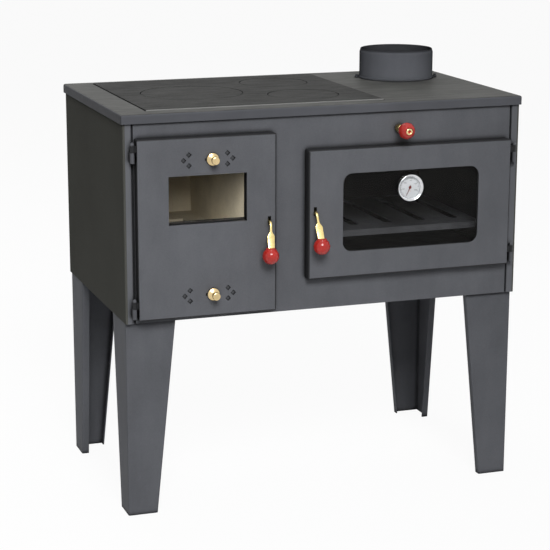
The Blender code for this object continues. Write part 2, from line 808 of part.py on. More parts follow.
def leg_corner(x_side, y_side):
    """The outer corner of a leg in plan."""
    x = x_side * (SIDE_X - SHEET + GAP)
    y = y_side * (-PANEL_FRONT - LEG_SETBACK) if y_side < 0 else PANEL_REAR - LEG_SETBACK
    return x, y


def leg_bolt_places():
    """Two bolts over each leg, in plan."""
    for x_side in (-1, 1):
        for y_side in (-1, 1):
            x, y = leg_corner(x_side, y_side)
            near, far = LEG_BOLT_NEAR, LEG_BOLT_FAR
            yield x_side, y_side, (x - x_side * near, y - y_side * far)
            yield x_side, y_side, (x - x_side * far, y - y_side * near)


def leg_bolt_holes():
    holes = []
    for _, _, (x, y) in leg_bolt_places():
        low = (x, y, BODY_BOTTOM - OVERRUN)
        high = (x, y, BODY_BOTTOM + SHEET + OVERRUN)
        holes.append(rod(low, high, LEG_BOLT + GAP, BOLT_SIDES))
    return holes


def make_legs():
    """Tapered angle legs with folded lips, a welded top plate and two bolts through the casing's floor."""
    for y_side, row in ((-1, "front"), (1, "rear")):
        for x_side, hand in ((-1, "left"), (1, "right")):
            make_leg(f"leg_{row}_{hand}", x_side, y_side)


def make_leg(name, x_side, y_side):
    x, y = leg_corner(x_side, y_side)
    shape = bmesh.new()
    rows = []
    for width, height in ((LEG_FOOT_WIDTH, 0.0), (LEG_TOP_WIDTH, LEG_TOP)):
        plan = [
            (x - x_side * LEG_LIP, y - y_side * width),
            (x, y - y_side * width),
            (x, y),
            (x - x_side * width, y),
            (x - x_side * width, y - y_side * LEG_LIP),
        ]
        rows.append([shape.verts.new((across, along, height)) for across, along in plan])
    foot, head = rows
    for index in range(len(foot) - 1):
        corners = [foot[index], foot[index + 1], head[index + 1], head[index]]
        if x_side * y_side < 0:
            corners.reverse()
        shape.faces.new(corners)
    leg = piece(name, [shape], PAINT)
    bevel(leg, LEG_SHEET + GAP)
    solidify(leg, LEG_SHEET)
    inset = LEG_SHEET - SINK
    reach = LEG_TOP_WIDTH - LEG_SHEET
    corner = (x - x_side * inset, y - y_side * inset)
    outline = [
        corner,
        (x - x_side * reach, y - y_side * inset),
        (x - x_side * reach, y - y_side * LEG_LIP),
        (x - x_side * LEG_LIP, y - y_side * reach),
        (x - x_side * inset, y - y_side * reach),
    ]
    join(leg, slab([outline], LEG_TOP - LEG_PLATE, LEG_TOP))
    bolts = []
    for near_x, near_y, (across, along) in leg_bolt_places():
        if (near_x, near_y) == (x_side, y_side):
            top = BODY_BOTTOM + SHEET + LEG_BOLT_HEAD
            bolts.append(rod((across, along, LEG_TOP - SINK), (across, along, top), LEG_BOLT, BOLT_SIDES))
    join(leg, *bolts)


def make_hob():
    """Hob tray with a seat for the cooking plate, the flue hole and the collar with its two bolts."""
    hob = pan(
        "hob_frame",
        (-HOB_WIDTH / 2, -HOB_DEPTH / 2, HOB_TOP - HOB_LIP),
        (HOB_WIDTH / 2, HOB_DEPTH / 2, HOB_TOP),
        (0, 0, -1),
        HOB_SHEET,
        HOB_BEND,
        HOB_PAINT,
    )
    left, right = COOK_LEFT - COOK_GAP, COOK_RIGHT + COOK_GAP
    front, rear = COOK_FRONT - COOK_GAP, COOK_REAR + COOK_GAP
    wall, seat = COOK_SEAT_WALL, COOK_SEAT
    outer = rectangle(left - wall, right + wall, front - wall, rear + wall)
    inner = rectangle(left + seat, right - seat, front + seat, rear - seat)
    seat_bottom = COOK_SEAT_TOP - COOK_SEAT_THICK
    join(hob, slab([outer, inner], seat_bottom, HOB_TOP - HOB_SHEET + SINK))
    cut(
        hob,
        block((left, front, COOK_SEAT_TOP), (right, rear, HOB_TOP + OVERRUN)),
        rod(
            (COLLAR_X, COLLAR_Y, HOB_TOP - HOB_LIP),
            (COLLAR_X, COLLAR_Y, HOB_TOP + OVERRUN),
            COLLAR_RADIUS - COLLAR_WALL,
            TURNED_STEPS,
        ),
    )
    make_collar()


def make_collar():
    bore = COLLAR_RADIUS - COLLAR_WALL
    profile = [
        (bore - COLLAR_TAPER, COLLAR_HEIGHT),
        (COLLAR_RADIUS - COLLAR_TAPER, COLLAR_HEIGHT),
        (COLLAR_RADIUS, COLLAR_HEIGHT - COLLAR_TAPER_HEIGHT),
        (COLLAR_RADIUS, COLLAR_FOOT_HEIGHT + COLLAR_FOOT),
        (COLLAR_RADIUS + COLLAR_FOOT, COLLAR_FOOT_HEIGHT),
        (COLLAR_RADIUS + COLLAR_FOOT, GAP),
        (bore, GAP),
        (bore, COLLAR_HEIGHT - COLLAR_TAPER_HEIGHT),
    ]
    collar = turned(
        "flue_collar", ring_profile(profile), HOB_PAINT, (COLLAR_X, COLLAR_Y, HOB_TOP), steps=WIDE_STEPS
    )
    lugs = []
    for turn in COLLAR_LUG_TURNS:
        lug = block(
            (COLLAR_RADIUS - SINK, -COLLAR_LUG_HALF, GAP),
            (COLLAR_RADIUS + COLLAR_LUG, COLLAR_LUG_HALF, COLLAR_FOOT_HEIGHT - SINK),
        )
        spin = Matrix.Rotation(math.radians(turn), 4, "Z")
        place = Matrix.Translation((COLLAR_X, COLLAR_Y, HOB_TOP))
        lug.transform(place @ spin)
        lugs.append(lug)
    join(collar, *lugs)
    bolts = []
    for turn in COLLAR_LUG_TURNS:
        middle = COLLAR_RADIUS + COLLAR_FOOT + (COLLAR_LUG - COLLAR_FOOT) / 2
        x = COLLAR_X + middle * math.cos(math.radians(turn))
        y = COLLAR_Y + middle * math.sin(math.radians(turn))
        low = HOB_TOP + COLLAR_FOOT_HEIGHT - SINK - GAP
        high = HOB_TOP + COLLAR_FOOT_HEIGHT + COLLAR_BOLT_HEIGHT
        bolts.append(rod((x, y, low), (x, y, high), COLLAR_BOLT, 6))
    join(collar, *bolts)


def lids():
    """Name, middle and radius of each lid."""
    length, depth = COOK_RIGHT - COOK_LEFT, COOK_REAR - COOK_FRONT
    for name, (across, along, size) in LID_SHARES.items():
        yield name, COOK_LEFT + across * length, COOK_FRONT + along * depth, size * min(length, depth)


def make_cooking_plate():
    """Cast plate with three stepped holes, stiffened below, and the three lids that lie in them."""
    middle = ((COOK_LEFT + COOK_RIGHT) / 2, (COOK_FRONT + COOK_REAR) / 2, HOB_TOP)
    pivot = empty("cooking_plate_lift", middle, ORIGIN)
    top = HOB_TOP + COOK_RISE
    bottom = top - COOK_THICK
    plate = piece(
        "cooking_plate",
        [block((COOK_LEFT, COOK_FRONT, bottom), (COOK_RIGHT, COOK_REAR, top))],
        CAST_IRON,
        pivot,
    )
    bevel(plate, COOK_EDGE, 1)
    holes = []
    seats = []
    rims = []
    for _, x, y, radius in lids():
        foot = bottom - COOK_RIB_DEPTH
        ledge = top - LID_STEP - GAP
        holes.append(rod((x, y, foot - OVERRUN), (x, y, ledge + SINK), radius - LID_REBATE, TURNED_STEPS))
        seats.append(rod((x, y, ledge), (x, y, top + OVERRUN), radius + LID_GAP, WIDE_STEPS))
        rims.append(rod((x, y, foot), (x, y, bottom + SINK), radius + COOK_RIB, KNOB_STEPS))
    join(plate, *rims)
    cut(plate, *holes)
    cut(plate, *seats)
    for name, x, y, radius in lids():
        make_lid(name, x, y, radius, pivot)


def make_lid(name, x, y, radius, plate_pivot):
    """A lid with a stepped edge that hangs in the plate's hole."""
    top = HOB_TOP + COOK_RISE
    pivot = empty(f"{name}_lift", (x, y, top), plate_pivot)
    profile = [
        (0, 0),
        (radius - LID_EDGE, 0),
        (radius, -LID_EDGE),
        (radius, -LID_STEP),
        (radius - LID_REBATE - LID_GAP, -LID_STEP),
        (radius - LID_REBATE - LID_GAP, -LID_THICK),
        (0, -LID_THICK),
    ]
    turned(name, profile, CAST_IRON, (x, y, top), pivot, steps=WIDE_STEPS)


def make_firebox():
    """Steel fire chamber behind the fire mouth, with its shelf, bricks, grate, guard and ash pan."""
    left, right = FIRE_CENTRE - FIREBOX_OUTER, FIRE_CENTRE + FIREBOX_OUTER
    floor = FIRE_MOUTH_BOTTOM - FIREBOX_SHEET
    rear = CHAMBER_REAR + BRICK + GAP + FIREBOX_SHEET
    front = CHAMBER_FRONT - FIREBOX_SHEET
    shell = piece("firebox", [block((left, front, floor), (right, rear, FIREBOX_TOP))], STEEL)
    mouth = FIRE_MOUTH_HALF
    wall = FIREBOX_SHEET
    join(
        shell,
        block(
            (FIRE_CENTRE - mouth - wall, PANEL_BACK + GAP, floor),
            (FIRE_CENTRE + mouth + wall, CHAMBER_FRONT, FIRE_MOUTH_TOP + wall),
        ),
    )
    inner = FIREBOX_INNER
    cut(
        shell,
        block(
            (FIRE_CENTRE - inner, CHAMBER_FRONT, FIRE_MOUTH_BOTTOM),
            (FIRE_CENTRE + inner, rear - wall, FIREBOX_TOP + OVERRUN),
        ),
    )
    cut(
        shell,
        block(
            (FIRE_CENTRE - mouth, PANEL_FRONT - OVERRUN, FIRE_MOUTH_BOTTOM),
            (FIRE_CENTRE + mouth, CHAMBER_FRONT + OVERRUN, FIRE_MOUTH_TOP),
        ),
    )
    opening = GRATE_HALF - GRATE_LAP
    edge = inner + SINK
    outline = rectangle(FIRE_CENTRE - edge, FIRE_CENTRE + edge, CHAMBER_FRONT - SINK, rear - wall + SINK)
    ash_hole = rectangle(
        FIRE_CENTRE - opening, FIRE_CENTRE + opening, GRATE_FRONT + GRATE_LAP, GRATE_REAR - GRATE_LAP
    )
    join(shell, slab([outline, ash_hole], SHELF_TOP - SHELF_THICK, SHELF_TOP))
    make_bricks()
    make_grate()
    make_guard()
    make_ash_pan()


def make_bricks():
    """Fireclay boards that line the chamber on three sides, and its floor round the grate."""
    bottom = SHELF_TOP + GAP
    front = CHAMBER_FRONT + GAP
    for name, side in (("firebrick_left", -1), ("firebrick_right", 1)):
        faces = sorted((FIRE_CENTRE + side * CHAMBER_HALF, FIRE_CENTRE + side * (CHAMBER_HALF + BRICK)))
        low = (faces[0], front, bottom)
        high = (faces[1], CHAMBER_REAR + BRICK, BRICK_TOP)
        bevel(piece(name, [block(low, high)], FIRECLAY), BRICK_EDGE, 1)
    inner = CHAMBER_HALF - GAP
    low = (FIRE_CENTRE - inner, CHAMBER_REAR, bottom)
    high = (FIRE_CENTRE + inner, CHAMBER_REAR + BRICK, BRICK_TOP)
    bevel(piece("firebrick_rear", [block(low, high)], FIRECLAY), BRICK_EDGE, 1)
    outline = rectangle(FIRE_CENTRE - inner, FIRE_CENTRE + inner, front, CHAMBER_REAR - GAP)
    hole = rectangle(FIRE_CENTRE - GRATE_HALF, FIRE_CENTRE + GRATE_HALF, GRATE_FRONT, GRATE_REAR)
    piece("firebrick_floor", [slab([outline, hole], bottom, FLOOR_TOP)], FIRECLAY)


def make_grate():
    """Cast grate with long ash slots, let into the floor board."""
    half = GRATE_HALF - GAP - GAP
    front, rear = GRATE_FRONT + GAP + GAP, GRATE_REAR - GAP - GAP
    outlines = [rectangle(FIRE_CENTRE - half, FIRE_CENTRE + half, front, rear)]
    pitch = (half + half - GRATE_RIM) / GRATE_SLOTS
    for index in range(GRATE_SLOTS):
        x = FIRE_CENTRE + (index - (GRATE_SLOTS - 1) / 2) * pitch
        slot = GRATE_SLOT / 2
        outlines.append(rectangle(x - slot, x + slot, front + GRATE_RIM, rear - GRATE_RIM))
    low = SHELF_TOP + GAP
    piece("fire_grate", [slab(outlines, low, low + GRATE_THICK)], CAST_IRON)


def make_guard():
    """Steel log guard that stands on the floor board behind the fire mouth, folded back at its top."""
    front = CHAMBER_FRONT + GAP + GAP
    half = CHAMBER_HALF - GAP - GAP
    low = (FIRE_CENTRE - half, front, FLOOR_TOP + GAP)
    high = (FIRE_CENTRE + half, front + GUARD_THICK, GUARD_TOP)
    guard = piece("log_guard", [block(low, high)], CAST_IRON)
    fold_low = (FIRE_CENTRE - half, front + GUARD_THICK - SINK, GUARD_TOP - GUARD_THICK)
    fold_high = (FIRE_CENTRE + half, front + GUARD_THICK + GUARD_FOLD, GUARD_TOP)
    join(guard, block(fold_low, fold_high))


def make_ash_pan():
    """Folded ash pan on the chamber's floor, with a lip to pull it by."""
    pivot = empty("ash_pan_slide", (FIRE_CENTRE, ASH_FRONT, FIRE_MOUTH_BOTTOM), ORIGIN)
    bottom = FIRE_MOUTH_BOTTOM + GAP
    top = bottom + ASH_HEIGHT
    tray = pan(
        "ash_pan",
        (FIRE_CENTRE - ASH_HALF, ASH_FRONT, bottom),
        (FIRE_CENTRE + ASH_HALF, ASH_REAR, top),
        (0, 0, 1),
        ASH_SHEET,
        ASH_SHEET + GAP,
        STEEL,
        pivot,
    )
    half = ASH_PULL_HALF
    lip_front = ASH_FRONT - ASH_PULL_REACH
    join(
        tray,
        block(
            (FIRE_CENTRE - half, lip_front, top - ASH_PULL_DROP),
            (FIRE_CENTRE + half, ASH_FRONT + SINK, top - ASH_PULL_DROP + ASH_SHEET + GAP),
        ),
    )


def make_oven():
    """Oven box behind the oven mouth, with a runner welded to each side and the slotted rack."""
    half = OVEN_MOUTH_HALF
    sheet = OVEN_SHEET
    box = pan(
        "oven_box",
        (OVEN_CENTRE - half - sheet, PANEL_BACK + GAP, OVEN_MOUTH_BOTTOM - sheet),
        (OVEN_CENTRE + half + sheet, OVEN_REAR, OVEN_BOX_TOP),
        (0, -1, 0),
        sheet,
        sheet + GAP,
        STEEL,
    )
    runner_top = RACK_TOP - RACK_SHEET - GAP
    for side in (-1, 1):
        edges = sorted((OVEN_CENTRE + side * (half + SINK), OVEN_CENTRE + side * (half - RUNNER_WIDTH)))
        low = (edges[0], RACK_FRONT, runner_top - RUNNER_THICK)
        high = (edges[1], OVEN_REAR - sheet + SINK, runner_top)
        join(box, block(low, high))
    pivot = empty("oven_rack_slide", (OVEN_CENTRE, RACK_FRONT, RACK_TOP), ORIGIN)
    edge = half - RACK_CLEAR
    rack_low = (OVEN_CENTRE - edge, RACK_FRONT, RACK_TOP - RACK_SHEET)
    rack = piece("oven_rack", [block(rack_low, (OVEN_CENTRE + edge, RACK_REAR, RACK_TOP))], STEEL, pivot)
    holes = []
    slot = RACK_SLOT_HALF
    slots = 1 + int(2 * (edge - RACK_SLOT_MARGIN - slot) / RACK_SLOT_PITCH)
    low, high = RACK_FRONT + RACK_SLOT_FRONT, RACK_REAR - RACK_SLOT_REAR
    for index in range(slots):
        x = OVEN_CENTRE + RACK_SLOT_SHIFT + (index - (slots - 1) / 2) * RACK_SLOT_PITCH
        outline = rounded(x - slot, x + slot, low, high, slot - GAP, 4)
        holes.append(slab([outline], RACK_TOP - RACK_LIP, RACK_TOP + OVERRUN))
    cut(rack, *holes)
    lip_edge = half - RUNNER_WIDTH - RACK_CLEAR
    lips = []
    for y in (RACK_FRONT, RACK_REAR - RACK_SHEET):
        low = (OVEN_CENTRE - lip_edge, y, RACK_TOP - RACK_LIP)
        high = (OVEN_CENTRE + lip_edge, y + RACK_SHEET, RACK_TOP - RACK_SHEET + SINK)
        lips.append(block(low, high))
    join(rack, *lips)


def make_flue_wall():
    """Upright wall over and behind the oven, with the damper's port and the rails of the damper plate."""
    low = OVEN_BOX_TOP + GAP
    front, rear = PANEL_BACK + GAP, PANEL_REAR - SHEET - SHEET - FLUE_WALL_REAR_GAP
    face = DAMPER_X + DAMPER_PLATE_SET + DAMPER_PLATE + SLIDE
    port_front = DAMPER_PLATE_FRONT + DAMPER_PORT_MARGIN
    port_rear = DAMPER_PLATE_FRONT + DAMPER_PLATE_LENGTH - DAMPER_PORT_MARGIN
    half = DAMPER_PORT_HALF
    port = rectangle(port_front, port_rear, DAMPER_HEIGHT - half, DAMPER_HEIGHT + half)
    floor = BODY_BOTTOM + SHEET + GAP
    flange = BODY_BOTTOM + BOTTOM_FLANGE + GAP
    inside_flange = PANEL_REAR - SHEET - SHEET - SHEET - GAP - GAP - GAP
    outline = [
        (front, low),
        (OVEN_REAR + GAP, low),
        (OVEN_REAR + GAP, floor),
        (inside_flange, floor),
        (inside_flange, flange),
        (rear, flange),
        (rear, PANEL_TOP),
        (front, PANEL_TOP),
    ]
    wall = piece("flue_wall", [slab([outline, port], face, face + FLUE_WALL, "YZ")], STEEL)
    rail_front = PANEL_FRONT / 2
    outer = DAMPER_X + DAMPER_PLATE_SET - SLIDE - FLUE_RAIL
    for side in (-1, 1):
        edge = DAMPER_HEIGHT + side * (DAMPER_PLATE_HALF + SLIDE)
        heights = sorted((edge, edge + side * FLUE_RAIL))
        join(wall, block((outer, rail_front, heights[0]), (face + SINK, port_rear + OVERRUN, heights[1])))
        lips = sorted((edge + side * FLUE_RAIL, edge - side * FLUE_RAIL_LIP))
        join(wall, block((outer, rail_front, lips[0]), (outer + FLUE_RAIL, port_rear + OVERRUN, lips[1])))


def make_damper():
    """Damper: a pull rod with a ball knob, carrying a plate that slides over the port in the flue wall."""
    front = PANEL_FRONT - DAMPER_BALL_REACH
    pivot = empty("damper_slide_axis", (DAMPER_X, front, DAMPER_HEIGHT), ORIGIN)
    plate_low = (DAMPER_X + DAMPER_PLATE_SET, DAMPER_PLATE_FRONT, DAMPER_HEIGHT - DAMPER_PLATE_HALF)
    plate_high = (
        DAMPER_X + DAMPER_PLATE_SET + DAMPER_PLATE,
        DAMPER_PLATE_FRONT + DAMPER_PLATE_LENGTH,
        DAMPER_HEIGHT + DAMPER_PLATE_HALF,
    )
    slide = piece("damper_slide", [block(plate_low, plate_high)], STEEL, pivot)
    start = (DAMPER_X, front + KNOB_BACK + GAP, DAMPER_HEIGHT)
    end = (DAMPER_X, DAMPER_PLATE_FRONT + DAMPER_PLATE_LENGTH / 2, DAMPER_HEIGHT)
    join(slide, rod(start, end, DAMPER_ROD))
    seat = BALL_MOUTH - BALL_RECESS_DEPTH
    knob = [(0, seat), (BALL_RECESS, seat)]
    start_turn = math.degrees(math.acos(BALL_RECESS / BALL_RADIUS))
    knob += arc(0, 0, BALL_RADIUS, start_turn, -KNOB_FLAT_TURN, 9)
    knob += [(0, knob[-1][1])]
    turned("damper_knob", knob, RED, (DAMPER_X, front, DAMPER_HEIGHT), pivot, FACING_FRONT, KNOB_STEPS)
    bore = DAMPER_ROD + RUN
    profile = [
        (bore, FERRULE_LENGTH),
        (FERRULE_RADIUS - SINK, FERRULE_LENGTH),
        (FERRULE_RADIUS, FERRULE_LENGTH - SINK),
        (FERRULE_RADIUS, GAP),
        (DAMPER_ROD + FERRULE_WALL, GAP),
        (DAMPER_ROD + FERRULE_WALL, -FRONT_SHEET),
        (bore, -FRONT_SHEET),
    ]
    turned(
        "damper_ferrule",
        ring_profile(profile),
        BRASS,
        (DAMPER_X, PANEL_FRONT, DAMPER_HEIGHT),
        ORIGIN,
        FACING_FRONT,
        KNOB_STEPS,
    )


def rope_outlines(centre, half, bottom, top):
    """The channel round a mouth: its outer and inner outline, and those of its groove."""
    width = ROPE_CHANNEL
    wall = ROPE_CHANNEL_WALL
    outer = rectangle(centre - half - width, centre + half + width, bottom - width, top + width)
    inner = rectangle(centre - half, centre + half, bottom, top)
    deep = width - wall
    groove_outer = rectangle(centre - half - deep, centre + half + deep, bottom - deep, top + deep)
    groove_inner = rectangle(centre - half - wall, centre + half + wall, bottom - wall, top + wall)
    return [outer, inner], [groove_outer, groove_inner]


def make_rope(name, centre, half, bottom, top, pivot):
    """Seal rope laid in the door's channel."""
    middle = ROPE_CHANNEL / 2
    outline = rounded(
        centre - half - middle, centre + half + middle, bottom - middle, top + middle, ROPE_CORNER / 2, 3
    )
    route = bpy.data.curves.new(name, "CURVE")
    route.dimensions = "3D"
    route.bevel_depth = ROPE_RADIUS
    route.bevel_resolution = 1
    route.use_fill_caps = True
    spline = route.splines.new("POLY")
    spline.points.add(len(outline) - 1)
    y = PANEL_FRONT - GAP - ROPE_RADIUS
    for point, (x, z) in zip(spline.points, outline):
        point.co = (x, y, z, 1)
    spline.use_cyclic_u = True
    rope = bpy.data.objects.new(name, route)
    route.materials.append(ROPE_LOOK)
    return place_in(rope, STOVE, pivot)


def hinge_tab(side, top):
    """The eye of a door hinge with the arm that is welded to the door's edge."""
    x = side * HINGE_X
    high = top - HINGE_HEAD_HEIGHT - GAP
    low = high - HINGE_TAB
    return x, low, high


def add_hinge_tabs(door, side, edge, tops):
    eyes = []
    arms = []
    bores = []
    for top in tops:
        x, low, high = hinge_tab(side, top)
        eyes.append(rod((x, HINGE_Y, low), (x, HINGE_Y, high), HINGE_RADIUS))
        reach = sorted((x, edge - side * SINK))
        half = HINGE_TAB_THICK / 2
        arms.append(block((reach[0], HINGE_Y - half, low + GAP), (reach[1], HINGE_Y + half, high - GAP)))
        bores.append(rod((x, HINGE_Y, low - OVERRUN), (x, HINGE_Y, high + OVERRUN), HINGE_PIN + RUN))
    join(door, *arms)
    join(door, *eyes)
    cut(door, *bores)


def make_hinges(prefix, side, tops):
    """The fixed half of a door's two hinges: a barrel on a welded leaf, and the headed pin in it."""
    for word, top in zip(("upper", "lower"), tops):
        x = side * HINGE_X
        high = top - HINGE_HEAD_HEIGHT - HINGE_TAB - GAP - GAP
        low = top - HINGE_HEIGHT
        tube = rod((x, HINGE_Y, low), (x, HINGE_Y, high), HINGE_RADIUS)
        barrel = piece(f"{prefix}_hinge_{word}", [tube], PAINT)
        half = HINGE_LEAF_THICK / 2
        middle = x + side * HINGE_LEAF_SHIFT
        leaf = block((middle - half, HINGE_Y, low + GAP), (middle + half, STRIP_FACE - GAP, high - GAP))
        join(barrel, leaf)
        cut(barrel, rod((x, HINGE_Y, low - OVERRUN), (x, HINGE_Y, high + OVERRUN), HINGE_PIN + RUN))
        profile = [(0, 0)]
        profile += arc(0, -HINGE_HEAD, HINGE_HEAD, 90, 0, 3)[1:]
        profile += [
            (HINGE_HEAD, -HINGE_HEAD_HEIGHT),
            (HINGE_PIN, -HINGE_HEAD_HEIGHT),
            (HINGE_PIN, -HINGE_HEIGHT),
            (0, -HINGE_HEIGHT),
        ]
        turned(f"{prefix}_hinge_pin_{word}", profile, PAINT, (x, HINGE_Y, top), steps=PIN_SIDES)


def latch_slot(x, height):
    """The upright slot that a latch lever comes out of, through the door's skin."""
    return block(
        (x - LATCH_SLOT_HALF, DOOR_FACE - OVERRUN, height - LATCH_SLOT_DOWN),
        (x + LATCH_SLOT_HALF, DOOR_SKIN + OVERRUN / 2, height + LATCH_SLOT_UP),
    )


def make_fire_door():
    """Fire door: a folded pan with a deep window, a rope channel, two rows of air holes and their rails."""
    pivot = empty("fire_door_pivot", (-HINGE_X, HINGE_Y, FIRE_BOTTOM), ORIGIN)
    door = pan(
        "fire_door_panel",
        (FIRE_LEFT, DOOR_FACE, FIRE_BOTTOM),
        (FIRE_RIGHT, DOOR_BACK, FIRE_TOP),
        (0, 1, 0),
        DOOR_SHEET,
        DOOR_BEND,
        PAINT,
        pivot,
    )
    channel, groove = rope_outlines(FIRE_CENTRE, FIRE_MOUTH_HALF, FIRE_MOUTH_BOTTOM, FIRE_MOUTH_TOP)
    base = DOOR_SKIN - SINK
    channel_back = DOOR_SKIN + ROPE_CHANNEL_DEPTH
    wall = FIRE_REVEAL_WALL
    window_block = block(
        (FIRE_WINDOW_LEFT - wall, base, FIRE_WINDOW_BOTTOM - wall),
        (FIRE_WINDOW_RIGHT + wall, DOOR_FACE + FIRE_REVEAL, FIRE_WINDOW_TOP + wall),
    )
    shapes = [slab(channel, base, channel_back, "XZ"), window_block]
    rail_lips = []
    for height in (UPPER_AIR_HEIGHT, LOWER_AIR_HEIGHT):
        feet, lips = air_rails(height)
        shapes += feet
        rail_lips += lips
    join(door, *shapes)
    join(door, *rail_lips)
    holes = [
        slab(groove, channel_back - ROPE_GROOVE_DEPTH, channel_back + OVERRUN, "XZ"),
        block(
            (FIRE_WINDOW_LEFT, DOOR_FACE - OVERRUN, FIRE_WINDOW_BOTTOM),
            (FIRE_WINDOW_RIGHT, DOOR_FACE + FIRE_REVEAL + OVERRUN, FIRE_WINDOW_TOP),
        ),
        latch_slot(FIRE_LATCH_X, FIRE_LATCH_HEIGHT),
    ]
    for height in (UPPER_AIR_HEIGHT, LOWER_AIR_HEIGHT):
        holes += air_holes(height, DOOR_FACE - OVERRUN, DOOR_SKIN + SINK, 0.0)
        slot = AIR_SPINDLE + SLIDE
        holes.append(
            block(
                (AIR_KNOB_X - AIR_TRAVEL - slot, DOOR_FACE - OVERRUN, height - slot),
                (AIR_KNOB_X + slot, DOOR_SKIN + SINK, height + slot),
            )
        )
    cut(door, *holes)
    add_hinge_tabs(door, -1, FIRE_LEFT, FIRE_HINGE_TOPS)
    front = DOOR_FACE + FIRE_REVEAL + GAP
    make_glazing(
        "fire",
        (FIRE_WINDOW_LEFT, FIRE_WINDOW_RIGHT, FIRE_WINDOW_BOTTOM, FIRE_WINDOW_TOP),
        front,
        pivot,
    )
    make_rope("fire_door_rope", FIRE_CENTRE, FIRE_MOUTH_HALF, FIRE_MOUTH_BOTTOM, FIRE_MOUTH_TOP, pivot)
    make_hinges("fire", -1, FIRE_HINGE_TOPS)
    make_latch("fire", FIRE_LATCH_X, FIRE_LATCH_HEIGHT, -1, pivot)
    make_air_control("upper_air", UPPER_AIR_HEIGHT, pivot)
    make_air_control("lower_air", LOWER_AIR_HEIGHT, pivot)


def make_glazing(prefix, window, front, pivot):
    """A pane behind its window, and the frame that holds it."""
    left, right, bottom, top = window
    lap = GLASS_LAP
    pane_low = (left - lap, front, bottom - lap)
    pane_high = (right + lap, front + GLASS, top + lap)
    pane = piece(f"{prefix}_door_glass", [block(pane_low, pane_high)], GLASS_LOOK, pivot)
    back = front + GLASS + GAP
    edge = lap + GLASS_FRAME_LIP
    outer = rectangle(left - edge, right + edge, bottom - edge, top + edge)
    inner = rectangle(left, right, bottom, top)
    ring = slab([outer, inner], back, back + GLASS_FRAME, "XZ")
    frame = piece(f"{prefix}_glass_frame", [ring], STEEL, pivot)
    clips = []
    for share in (GLASS_CLIP_SHARE, 1 - GLASS_CLIP_SHARE):
        z = bottom + (top - bottom) * share
        for end, side in ((left - edge, 1), (right + edge, -1)):
            across = sorted((end, end + side * GLASS_CLIP))
            low = (across[0], DOOR_SKIN + GAP, z - GLASS_CLIP_HALF)
            high = (across[1], back + GLASS_FRAME - GAP, z + GLASS_CLIP_HALF)
            clips.append(block(low, high))
    join(frame, *clips)
    return pane


def make_oven_door():
    """Oven door: a folded pan with a round-cornered window, a rope channel and a thermometer in the pane."""
    pivot = empty("oven_door_pivot", (HINGE_X, HINGE_Y, OVEN_BOTTOM), ORIGIN)
    door = pan(
        "oven_door_panel",
        (OVEN_LEFT, DOOR_FACE, OVEN_BOTTOM),
        (OVEN_RIGHT, DOOR_BACK, OVEN_TOP),
        (0, 1, 0),
        DOOR_SHEET,
        DOOR_BEND,
        PAINT,
        pivot,
    )
    channel, groove = rope_outlines(OVEN_CENTRE, OVEN_MOUTH_HALF, OVEN_MOUTH_BOTTOM, OVEN_MOUTH_TOP)
    channel_back = DOOR_SKIN + ROPE_CHANNEL_DEPTH
    join(door, slab(channel, DOOR_SKIN - SINK, channel_back, "XZ"))
    window = rounded(
        OVEN_WINDOW_LEFT, OVEN_WINDOW_RIGHT, OVEN_WINDOW_BOTTOM, OVEN_WINDOW_TOP, OVEN_WINDOW_CORNER
    )
    cut(
        door,
        slab(groove, channel_back - ROPE_GROOVE_DEPTH, channel_back + OVERRUN, "XZ"),
        slab([window], DOOR_FACE - OVERRUN, DOOR_SKIN + OVERRUN, "XZ"),
        latch_slot(OVEN_LATCH_X, OVEN_LATCH_HEIGHT),
    )
    add_hinge_tabs(door, 1, OVEN_RIGHT, OVEN_HINGE_TOPS)
    front = DOOR_SKIN + GAP
    pane = make_glazing(
        "oven",
        (OVEN_WINDOW_LEFT, OVEN_WINDOW_RIGHT, OVEN_WINDOW_BOTTOM, OVEN_WINDOW_TOP),
        front,
        pivot,
    )
    start = (GAUGE_X, front - OVERRUN, GAUGE_HEIGHT)
    end = (GAUGE_X, front + GLASS + OVERRUN, GAUGE_HEIGHT)
    cut(pane, rod(start, end, GAUGE_STEM + GAP))
    make_rope("oven_door_rope", OVEN_CENTRE, OVEN_MOUTH_HALF, OVEN_MOUTH_BOTTOM, OVEN_MOUTH_TOP, pivot)
    make_hinges("oven", 1, OVEN_HINGE_TOPS)
    make_latch("oven", OVEN_LATCH_X, OVEN_LATCH_HEIGHT, 1, pivot)
    make_thermometer(front - GAP, pivot)


